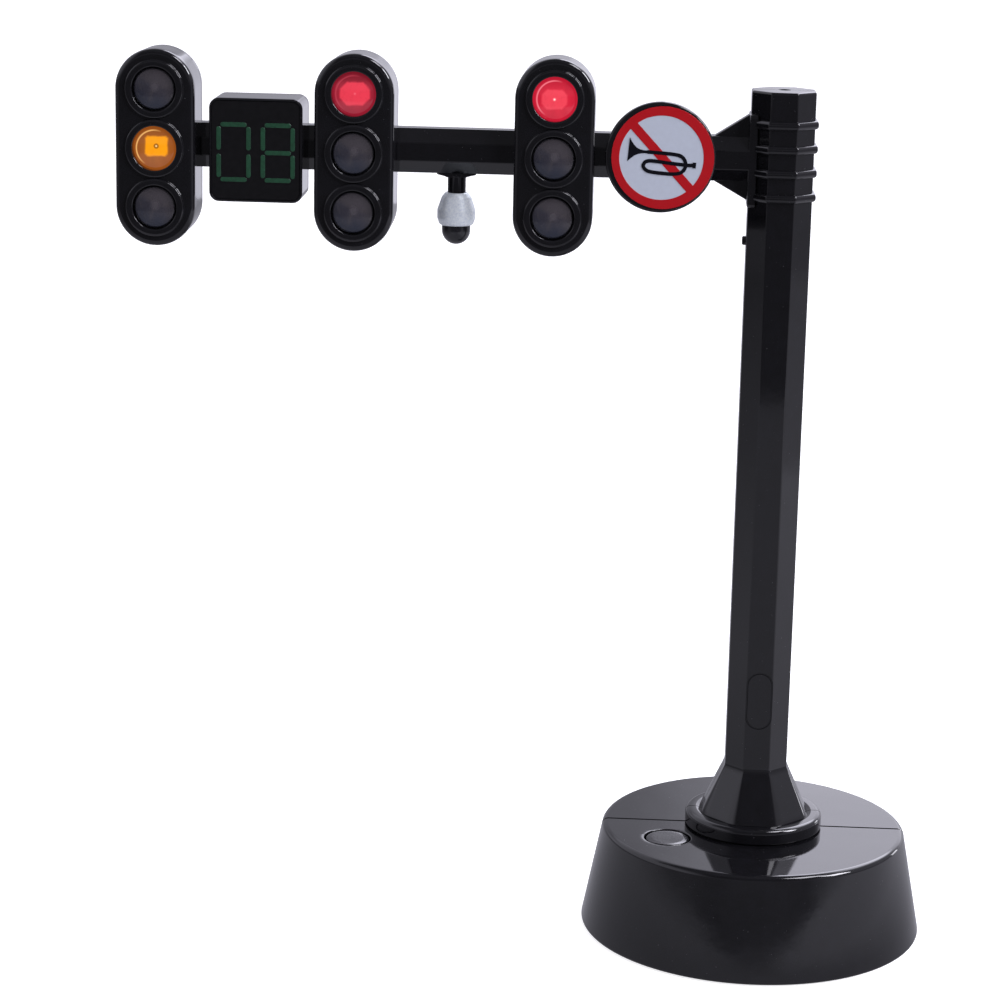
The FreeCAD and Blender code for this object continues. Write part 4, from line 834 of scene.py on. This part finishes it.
def build_screws():
    model = screw("screw", PAN_HEAD_R, PAN_HEAD, SHANK_R, 4.2)
    rear = []
    places = [(x, HEAD_SCREW_Z) for x in HEAD_X.values()] + [(DISPLAY_X, DISPLAY_SCREW_Z)]
    for i, (x, offset) in enumerate(places):
        for sign in (-1, 1):
            spin = Matrix.Rotation(0.5 + 1.3 * i + sign, 4, "Z")
            turn = Matrix.Rotation(-math.pi / 2, 4, "X") @ spin
            rear.append(copy_of(model, "rear_screw", (x, BACK_PLATE - 0.12, ARM_Z + sign * offset), turn))
    piece(joined("rear_screws", rear), STEEL, ["arm_screws"])
    bpy.data.objects.remove(model)

    model = screw("screw", PAN_HEAD_R, PAN_HEAD, SHANK_R, 10.0)
    under = []
    for i, (x, y) in enumerate([(-1, -1), (1, -1), (1, 1), (-1, 1)]):
        turn = Matrix.Rotation(math.pi, 4, "X") @ Matrix.Rotation(0.4 + i, 4, "Z")
        place = (x * BASE_SCREW_AT, y * BASE_SCREW_AT, BASE_SCREW_Z)
        under.append(copy_of(model, "under_screw", place, turn))
    piece(joined("under_screws", under), STEEL, ["base_screws"])
    bpy.data.objects.remove(model)

    model = screw("captive_screw", 1.95, 0.9, 1.0, 4.0)
    low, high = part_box("door_screw")
    turn = Matrix.Rotation(math.pi, 4, "X")
    centre = (low + high) / 2 / MM
    captive = copy_of(model, "door_screw_model", (centre.x, centre.y, low.z / MM), turn)
    bpy.data.objects.remove(model)
    piece(captive, STEEL, ["door_screw"], "door_screw")


# ---- Signal heads ----
def fit_to_arm(housing, x, screw_z, start, end):
    """Adds the two screw posts of a housing and cuts out the arm that it sits on."""
    profile = [(0.85, -4.2), (2.0, -4.2), (2.0, -0.01), (0.85, -0.01)]
    places = [(x, ARM_Z - screw_z), (x, ARM_Z + screw_z)]
    posts = [lathe("post", profile, place, "front", 32, True) for place in places]
    unite(housing, posts)
    cut(housing, [beam("notch", ARM_ACROSS, ARM_EDGE, start, end)])


def build_head(name, x):
    stations = [(HEAD_WALL, HEAD_FRONT_Y + HEAD_FACE), (HEAD_WALL, HEAD_BACK_Y), (0.12, HEAD_BACK_Y),
                (0, HEAD_BACK_Y - 0.12)]
    for inset, drop in edge_rings(HEAD_EDGE, 6):
        stations.append((inset, HEAD_FRONT_Y + drop))
    rings = []
    for inset, y in stations:
        outline = stadium(HEAD_WIDTH - 2 * inset, HEAD_HEIGHT - 2 * inset, 24)
        rings.append(standing(outline, y, x))
    bezel = loft(name + "_bezel", rings)
    holes = []
    collars = []
    for offset in LAMP_OFFSETS.values():
        z = ARM_Z + offset
        holes.append(rod("hole", 4.95, -12, -8, (x, z), "front", 64))
        ring = rounded([(LENS_HOLE_R, HEAD_FRONT_Y + 1, 0.08), (LENS_HOLE_R, COLLAR_RING_Y, 0.2),
                        (COLLAR_RING_R, COLLAR_RING_Y, 0.3), (COLLAR_RING_R, HEAD_FRONT_Y - 0.1, 0.1),
                        (COLLAR_RING_R + 0.12, HEAD_FRONT_Y + 0.06, 0),
                        (COLLAR_RING_R, HEAD_FRONT_Y + 1, 0)], 5, True)
        collars.append(lathe("collar", ring, (x, z), "front", 72, True))
    cut(bezel, holes)
    unite(bezel, collars)
    piece(bezel, BLACK, [name + "_head_bezel"])

    rings = []
    for inset, y in ((0, HEAD_BACK_Y + 0.04), (0, -0.1), (0.1, 0), (HOUSING_WALL, 0),
                     (HOUSING_WALL, HEAD_BACK_Y)):
        inset += HOUSING_STEP
        rings.append(standing(stadium(HEAD_WIDTH - 2 * inset, HEAD_HEIGHT - 2 * inset, 24), y, x))
    housing = loft(name + "_housing", rings, looped=True)
    far_x = ARM_END_X if name == "outer" else x - HEAD_WIDTH
    fit_to_arm(housing, x, HEAD_SCREW_Z, x + HEAD_WIDTH, far_x)
    piece(housing, BLACK, [name + "_head_housing"])

    for lamp, offset in LAMP_OFFSETS.items():
        z = ARM_Z + offset
        sphere = (LENS_R ** 2 + 0.6 ** 2) / 1.2
        profile = [(0, LENS_APEX_Y)]
        for k in range(1, 12):
            r = (LENS_R - 0.35) * k / 11
            profile.append((r, LENS_APEX_Y + sphere - math.sqrt(sphere ** 2 - r ** 2)))
        profile += [(LENS_R - 0.17, -10.2), (LENS_R - 0.05, -10.05), (LENS_R, -9.85)]
        profile += rounded([(LENS_R, LENS_FLANGE_Y, 0), (LENS_FLANGE_R, LENS_FLANGE_Y, 0.1),
                            (LENS_FLANGE_R, LENS_BACK_Y, 0.1), (4.0, LENS_BACK_Y, 0.1), (4.0, -9.6, 0.2),
                            (0, -9.6, 0)], 3)
        lens = lathe(name + "_" + lamp, profile, (0, 0), "front", 72)
        lens.data.transform(Matrix.Translation((0, -LENS_APEX_Y * MM, 0)))
        lens.location = Vector((x, LENS_APEX_Y, z)) * MM
        lit = {"outer": "amber", "middle": "red", "inner": "red"}[name]
        finish = SMOKE
        if lamp == lit:
            finish = {"outer": AMBER, "middle": RED_MIDDLE, "inner": RED_INNER}[name]
        piece(lens, finish, [name + "_lens_" + lamp])


# ---- Countdown display ----
def build_display():
    def outlines(stations):
        rings = []
        for inset, y in stations:
            corner = max(DISPLAY_CORNER - inset, 0.3)
            outline = rectangle(DISPLAY_WIDTH - 2 * inset, DISPLAY_HEIGHT - 2 * inset, corner, 8)
            rings.append(standing(outline, y, DISPLAY_X))
        return rings

    back = DISPLAY_FRONT_Y + 0.6
    stations = [(0.15, 0), (0, -0.15), (0, DISPLAY_FRONT_Y + 0.3), (0.04, DISPLAY_FRONT_Y + 0.14),
                (0.14, DISPLAY_FRONT_Y + 0.03), (0.26, DISPLAY_FRONT_Y),
                (DISPLAY_RIM - 0.06, DISPLAY_FRONT_Y), (DISPLAY_RIM, DISPLAY_FRONT_Y + 0.08),
                (DISPLAY_RIM, back), (DISPLAY_WALL, back), (DISPLAY_WALL, 0)]
    housing = loft("display_case", outlines(stations), looped=True)
    fit_to_arm(housing, DISPLAY_X, DISPLAY_SCREW_Z, DISPLAY_X + DISPLAY_WIDTH, DISPLAY_X - DISPLAY_WIDTH)
    piece(housing, BLACK, ["display_housing"])

    gap = DISPLAY_RIM + 0.05
    face = DISPLAY_FRONT_Y + 0.1
    stations = [(gap, back - 0.02), (gap, face + 0.06), (gap + 0.06, face)]
    panel = loft("display_face", outlines(stations))
    piece(panel, MATT, ["display_panel"])

    segments = []
    half_x = (DIGIT_WIDTH - SEGMENT) / 2
    half_z = (DIGIT_HEIGHT - SEGMENT) / 2
    across = DIGIT_WIDTH - SEGMENT - 2 * SEGMENT_GAP
    upright = half_z - SEGMENT / 2 - SEGMENT_GAP
    for digit_x, middle in ((DISPLAY_X - DIGIT_PITCH / 2, False), (DISPLAY_X + DIGIT_PITCH / 2, True)):
        centre_z = ARM_Z - DIGIT_DROP
        bars = [(0, half_z, across, SEGMENT), (0, -half_z, across, SEGMENT)]
        for sx in (-1, 1):
            for sz in (-1, 1):
                bars.append((sx * half_x, sz * half_z / 2, SEGMENT, upright))
        if middle:
            bars.append((0, 0, across, SEGMENT))
        for dx, dz, width, height in bars:
            rings = []
            for inset, y in ((0, face + 0.02), (0, face - 0.05), (0.05, face - 0.09)):
                short = min(width, height) - 2 * inset
                outline = rectangle(width - 2 * inset, height - 2 * inset, short / 2, 6)
                rings.append(standing(outline, y, digit_x + dx, centre_z + dz))
            segments.append(loft("segment", rings))
    piece(joined("display_segments", segments), GREEN_SEGMENT, ["display_digits"])


# ---- Sign ----
def flat_plate(name, outline, front, thickness):
    """A thin printed inlay from an outline of (x, z) points."""
    bm = bmesh.new()
    lower = [bm.verts.new((x, front + thickness, z)) for x, z in outline]
    face = bm.faces.new(lower)
    made = bmesh.ops.extrude_face_region(bm, geom=[face])
    moved = [v for v in made["geom"] if isinstance(v, bmesh.types.BMVert)]
    bmesh.ops.translate(bm, verts=moved, vec=(0, -thickness, 0))
    return to_object(name, bm)


def stroke(points, widths, steps=10):
    """The outline of a smooth stroke through points, with a width at each point."""
    def curve(values):
        dense = []
        for i in range(len(values) - 1):
            before = values[max(i - 1, 0)]
            here = values[i]
            there = values[i + 1]
            beyond = values[min(i + 2, len(values) - 1)]
            for k in range(steps):
                t = k / steps
                dense.append(0.5 * (2 * here + (there - before) * t
                                    + (2 * before - 5 * here + 4 * there - beyond) * t * t
                                    + (3 * here - before - 3 * there + beyond) * t ** 3))
        dense.append(values[-1])
        return dense
    line = list(zip(curve([p[0] for p in points]), curve([p[1] for p in points]), curve(list(widths))))
    left = []
    right = []
    for i, (x, z, width) in enumerate(line):
        ax, az = line[max(i - 1, 0)][:2]
        bx, bz = line[min(i + 1, len(line) - 1)][:2]
        along = Vector((bx - ax, bz - az)).normalized()
        left.append((x - along.y * width / 2, z + along.x * width / 2))
        right.append((x + along.y * width / 2, z - along.x * width / 2))
    return left + right[::-1]


def build_sign():
    profile = rounded([(0, SIGN_FRONT_Y, 0), (SIGN_R, SIGN_FRONT_Y, 0.5), (SIGN_R, SIGN_BACK_Y, 0.25),
                       (3.0, SIGN_BACK_Y, 0.15), (3.0, -3.4, 0), (1.2, -3.4, 0), (1.2, -3.0, 0),
                       (0, -3.0, 0)], 5)
    disc = lathe("sign_plate", profile, (SIGN_X, SIGN_Z), "front", 128)
    cut(disc, [beam("beam", ARM_ACROSS + 0.02, ARM_EDGE, SIGN_X + SIGN_R, SIGN_X - SIGN_R)])
    piece(disc, BLACK, ["sign_disc"])

    field_y = SIGN_FRONT_Y - 0.04
    field = lathe("sign_field", rounded([(0, SIGN_FRONT_Y + 0.02, 0), (9.6, SIGN_FRONT_Y + 0.02, 0),
                                         (9.6, field_y, 0.02), (0, field_y, 0)], 2),
                  (SIGN_X + 0.3, SIGN_Z), "front", 128)
    piece(field, SIGN_WHITE, ["sign_face"])

    ring_y = SIGN_FRONT_Y - 0.09
    low_y = field_y + 0.02
    rings = []
    for centre_x, radius, y in ((0.45, 10.2, low_y), (0.45, 10.2, ring_y + 0.02), (0.45, 10.18, ring_y),
                                (0.18, 8.39, ring_y), (0.18, 8.37, ring_y + 0.02), (0.18, 8.37, low_y)):
        rings.append(standing(circle(radius, 128, 0), y, SIGN_X + centre_x, SIGN_Z))
    ring = loft("sign_ring", rings, looped=True)
    angle = math.radians(-47)
    along = Vector((math.cos(angle), math.sin(angle)))
    side = Vector((-along.y, along.x))
    ends = []
    for length, width in ((-9.0, 0.9), (9.0, 0.9), (9.0, -0.9), (-9.0, -0.9)):
        ends.append(along * length + side * (0.15 + width) + Vector((0.18, 0)))
    slash = flat_plate("slash", [(SIGN_X + p.x, SIGN_Z + p.y) for p in ends], ring_y, 0.07)
    unite(ring, [slash])
    piece(ring, SIGN_RED)

    horn_y = SIGN_FRONT_Y - 0.12
    bell = [(-6.17, 3.91), (-5.73, 3.1), (-5.23, 2.41), (-4.7, 1.9), (-4.09, 1.58), (-3.3, 1.42), (-2.4, 1.4),
            (-2.1, 0.84), (-3.0, 0.86), (-3.75, 0.83), (-4.5, 0.66), (-5.17, 0.35), (-5.9, -0.2),
            (-6.56, -0.81)]
    loop = [(-2.6, 1.12), (0.69, 0.92), (3.24, 0.67), (4.37, 0.19), (4.98, -0.81), (4.92, -1.92),
            (4.16, -2.81), (2.74, -3.13), (0.83, -3.09), (-1.73, -2.84), (-2.85, -2.46), (-3.39, -1.67),
            (-3.03, -0.87)]
    lead = [(-3.2, -0.95), (-2.05, -0.62), (0.12, -0.81), (2.35, -1.07), (5.22, -1.31), (6.65, -1.34)]
    shapes = [bell, stroke(loop, [0.72] * len(loop)), stroke(lead, [0.72] * len(lead)),
              stroke([(6.79, -0.76), (6.75, -1.3), (6.7, -1.88)], [0.7, 0.66, 0.7])]
    horn = []
    for i, outline in enumerate(shapes):
        placed = [(SIGN_X + x, SIGN_Z + z) for x, z in outline]
        horn.append(flat_plate("horn", placed, horn_y - 0.004 * i, 0.08))
    piece(joined("sign_horn", horn), SIGN_BLACK, weighted=False)


# ---- Camera ----
def build_camera():
    arm_bottom = ARM_Z - ARM_ACROSS / 2
    length = 3.95
    top = arm_bottom - 0.01
    section = [(-length, top), (length, top), (length, top - 0.22), (2.3, top - 0.62), (1.9, top - 0.8),
               (-1.9, top - 0.8), (-2.3, top - 0.62), (-length, top - 0.22)]
    sides = [[(CAMERA_X + x, y, z) for x, z in section] for y in (-1.8, 1.8)]
    bracket = soften(loft("camera_mount", sides), 0.06)
    stem = rounded([(0, CAMERA_HOUSING_TOP, 0), (1.85, CAMERA_HOUSING_TOP, 0), (1.85, top - 0.7, 0.15),
                    (2.1, top - 0.45, 0), (0, top - 0.45, 0)], 3)
    stem = lathe("stem", stem, (CAMERA_X, 0), segments=48)
    unite(bracket, [stem, rod("pin", 0.9, top - 0.5, ARM_Z - 3.0, (CAMERA_X, 0))])
    piece(bracket, BLACK, ["camera_bracket"])

    shell = rounded([(0, CAMERA_HOUSING_LOW, 0), (3.2, CAMERA_HOUSING_LOW, 0.1), (3.5, 148.85, 0.25),
                     (CAMERA_HOUSING_R, 150.0, 0.6), (CAMERA_HOUSING_R, 151.7, 0.9), (3.0, 154.3, 0.8),
                     (2.3, CAMERA_HOUSING_TOP, 0.4), (1.9, CAMERA_HOUSING_TOP, 0.05),
                     (1.9, CAMERA_HOUSING_TOP - 0.3, 0), (0, CAMERA_HOUSING_TOP - 0.3, 0)], 6)
    housing = lathe("camera_body", shell, (CAMERA_X, 0), segments=96)
    piece(housing, SILVER, ["camera_housing"], angle=40)

    centre = CAMERA_DOME_LOW + CAMERA_DOME_R
    dome = [(CAMERA_DOME_R * math.sin(a), centre - CAMERA_DOME_R * math.cos(a))
            for a in [math.pi / 2 * k / 16 for k in range(17)]]
    dome_top = CAMERA_HOUSING_LOW - 0.02
    dome = [(0, CAMERA_DOME_LOW)] + dome[1:] + [(CAMERA_DOME_R, dome_top), (0, dome_top)]
    glass = lathe("camera_glass", dome, (CAMERA_X, 0), segments=72)
    piece(glass, DOME_BLACK, ["camera_dome"])


# ---- CAD nodes that keep their shape ----
def finish_cad_nodes():
    finishes = {UNDER_BLACK: ["base_bottom_plate", "battery_door"],
                NICKEL: ["contact_plates", "contact_springs"],
                CELL: ["battery_cell_1", "battery_cell_2", "battery_cell_3"], BOARD_GREEN: ["control_board"],
                CHIP: ["tact_switch", "switch_plunger", "control_chip"], COMPONENT: ["board_components"],
                WIRE: ["wiring_loom", "battery_lead"],
                LED_BOARD: ["display_module"] + [name + "_led_board" for name in HEAD_X],
                LED_BODY: [name + "_leds" for name in HEAD_X]}
    for material, names in finishes.items():
        for name in names:
            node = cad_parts[name]
            node.data.materials.clear()
            node.data.materials.append(material)
    for name in ("base_bottom_plate", "battery_door", "contact_plates"):
        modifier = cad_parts[name].modifiers.new("eased", "BEVEL")
        modifier.width = 0.12 * MM
        modifier.segments = 2
        modifier.limit_method = "ANGLE"
        modifier.angle_limit = math.radians(40)


# ---- Camera, light and floor ----
def view_camera():
    pitch, roll, yaw = (math.radians(angle) for angle in VIEW_ANGLES)
    forward = Vector((math.sin(yaw) * math.cos(pitch), math.cos(yaw) * math.cos(pitch), -math.sin(pitch)))
    level = Vector((math.cos(yaw), -math.sin(yaw), 0))
    above = level.cross(forward)
    right = math.cos(roll) * level + math.sin(roll) * above
    up = -math.sin(roll) * level + math.cos(roll) * above
    data = bpy.data.cameras.new("view")
    data.sensor_width = 36.0
    data.lens = VIEW_LENS
    data.clip_start = 0.01
    data.clip_end = 20.0
    camera = linked("view", data)
    turn = Matrix((right, up, -forward)).transposed().to_4x4()
    camera.matrix_world = Matrix.Translation(Vector(VIEW_PLACE) * MM) @ turn
    bpy.context.scene.camera = camera


def soft_light(name, place, target, size, power):
    data = bpy.data.lights.new(name, "AREA")
    data.shape = "RECTANGLE"
    data.size = size[0]
    data.size_y = size[1]
    data.energy = power
    data.color = LIGHT_TINT
    light = linked(name, data)
    light.location = place
    light.rotation_euler = (Vector(target) - Vector(place)).to_track_quat("-Z", "Y").to_euler()
    light.visible_camera = False
    return light


def cover(obj, surface):
    """Gives a stage object a material whose surface is made by surface(nodes)."""
    material = bpy.data.materials.new(obj.name)
    material.use_nodes = True
    material.node_tree.nodes.clear()
    nodes = Nodes(material.node_tree)
    nodes.link(surface(nodes), nodes.add("ShaderNodeOutputMaterial").inputs["Surface"])
    obj.data.materials.append(material)


def build_stage():
    """A pale sweep, open under the base, that the camera sees, and a glowing table top that the gloss
    reflects.
    """
    profile = rounded([(FLOOR_HOLE_R, 0, 0), (2400, 0, 1200), (2400, 3600, 900), (0.001, 3600, 0)], 16)
    sweep = lathe("sweep", profile, segments=64)
    sweep.data.shade_smooth()
    for ray in ("glossy", "diffuse", "shadow", "transmission"):
        setattr(sweep, "visible_" + ray, False)

    def pale(nodes):
        diffuse = nodes.add("ShaderNodeBsdfDiffuse")
        diffuse.inputs["Color"].default_value = (0.62, 0.62, 0.63, 1)
        glow = nodes.add("ShaderNodeEmission")
        glow.inputs["Strength"].default_value = 0.8
        both = nodes.add("ShaderNodeAddShader")
        nodes.link(diffuse.outputs[0], both.inputs[0])
        nodes.link(glow.outputs[0], both.inputs[1])
        return both.outputs[0]
    cover(sweep, pale)

    # The table top glows with painted light, graded across X from dim at the left to bright at the right,
    # standing in for a lit table; the camera doesn't see it.
    table = box("table", (-900, -566, -2.0), (1100, 1100, -0.2))
    table.visible_camera = False
    table.visible_shadow = False

    def painted_table_light(nodes):
        low_x = -1.0
        high_x = 1.2
        levels = [(-0.9, 0.2), (-0.5, 0.36), (-0.22, 0.56), (-0.06, 0.44), (0.05, 0.44), (0.11, 0.72),
                  (0.43, 0.88), (0.47, 0.56), (0.85, 0.5), (0.9, 0.32)]
        stops = [((x - low_x) / (high_x - low_x), tuple(level * c for c in ROOM_TINT)) for x, level in levels]
        x = nodes.split(nodes.add("ShaderNodeTexCoord").outputs["Object"])["X"]
        glow = nodes.add("ShaderNodeEmission")
        nodes.link(nodes.ramp(nodes.spread(x, 0, 1, low_x, high_x), stops), glow.inputs["Color"])
        return glow.outputs[0]
    cover(table, painted_table_light)


def build_world():
    """Room light by direction: brighter behind and to the right, dim in front and overhead."""
    world = bpy.data.worlds.new("room")
    bpy.context.scene.world = world
    world.use_nodes = True
    tree = Nodes(world.node_tree)
    x, y, z = tree.split(tree.add("ShaderNodeTexCoord").outputs["Generated"])

    def blend(source, start, end, low, high):
        return tree.spread(source, low, high, start, end, interpolation_type="SMOOTHSTEP")

    def mix(weight, low, high):
        return tree.plus(low, tree.times(weight, tree.minus(high, low)))

    window = tree.times(blend(x, 0.036, 0.048, 0, 1.08), blend(x, 0.45, 0.65, 1, 0))
    horizon = tree.plus(blend(x, -0.2, 0, 0.44, 0.74), blend(x, 0.02, 0.05, 0, 0.21))
    horizon = tree.plus(horizon, blend(x, 0.08, 0.15, 0, 0.2))
    behind = mix(blend(z, 0.12, 0.22, 0, 1), horizon, blend(x, -0.004, 0.03, 0.52, 0.85))
    above = tree.plus(blend(z, 0.14, 0.2, 0, 1.2), blend(z, 0.42, 0.55, 0, 3.4))
    behind = tree.plus(behind, tree.times(window, above))
    behind = tree.plus(behind, blend(z, 0.42, 0.55, 0, 0.5))
    front = tree.minus(blend(z, -0.03, 0.03, 0.09, 0.24), blend(z, 0.15, 0.4, 0, 0.15))
    level = mix(blend(y, -0.1, 0.25, 0, 1), front, behind)
    level = mix(blend(x, -0.8, -0.45, 1, 0), level, blend(z, 0.05, 0.25, 0.26, 0.95))
    level = mix(blend(x, 0.6, 0.8, 0, 1), level, blend(z, 0.1, 0.25, 0.34, 0.55))
    level = mix(blend(z, 0.72, 0.9, 0, 1), level, 0.16)
    background = world.node_tree.nodes["Background"]
    tree.link(level, background.inputs["Strength"])
    background.inputs["Color"].default_value = (*ROOM_TINT, 1)


def build_lights():
    fill = soft_light("fill", (0.8, -0.87, 0.85), (-0.05, 0, 0.12), (0.45, 0.45), 10.0)
    fill.visible_glossy = False
    left = soft_light("left", (-1.3, -0.1, 0.7), (-0.05, 0, 0.1), (0.7, 0.9), 3.0)
    left.visible_glossy = False
    soft_light("softbox", (1.12, -0.32, 0.96), (-0.04, 0, 0.13), (0.42, 0.5), 15.0)
    upper = soft_light("upper", (0.66, -0.34, 1.3), (-0.04, 0, 0.13), (0.55, 0.4), 9.0)
    upper.visible_diffuse = False
    soft_light("pane", (1.1, 0.9, 0.2), (0, 0, 0.1), (0.25, 0.3), 1.2)


build_base()
build_mast()
build_arm()
build_screws()
for head, head_x in HEAD_X.items():
    build_head(head, head_x)
build_display()
build_sign()
build_camera()
finish_cad_nodes()
view_camera()
build_stage()
build_world()
build_lights()
bpy.context.scene.view_settings.view_transform = "Standard"
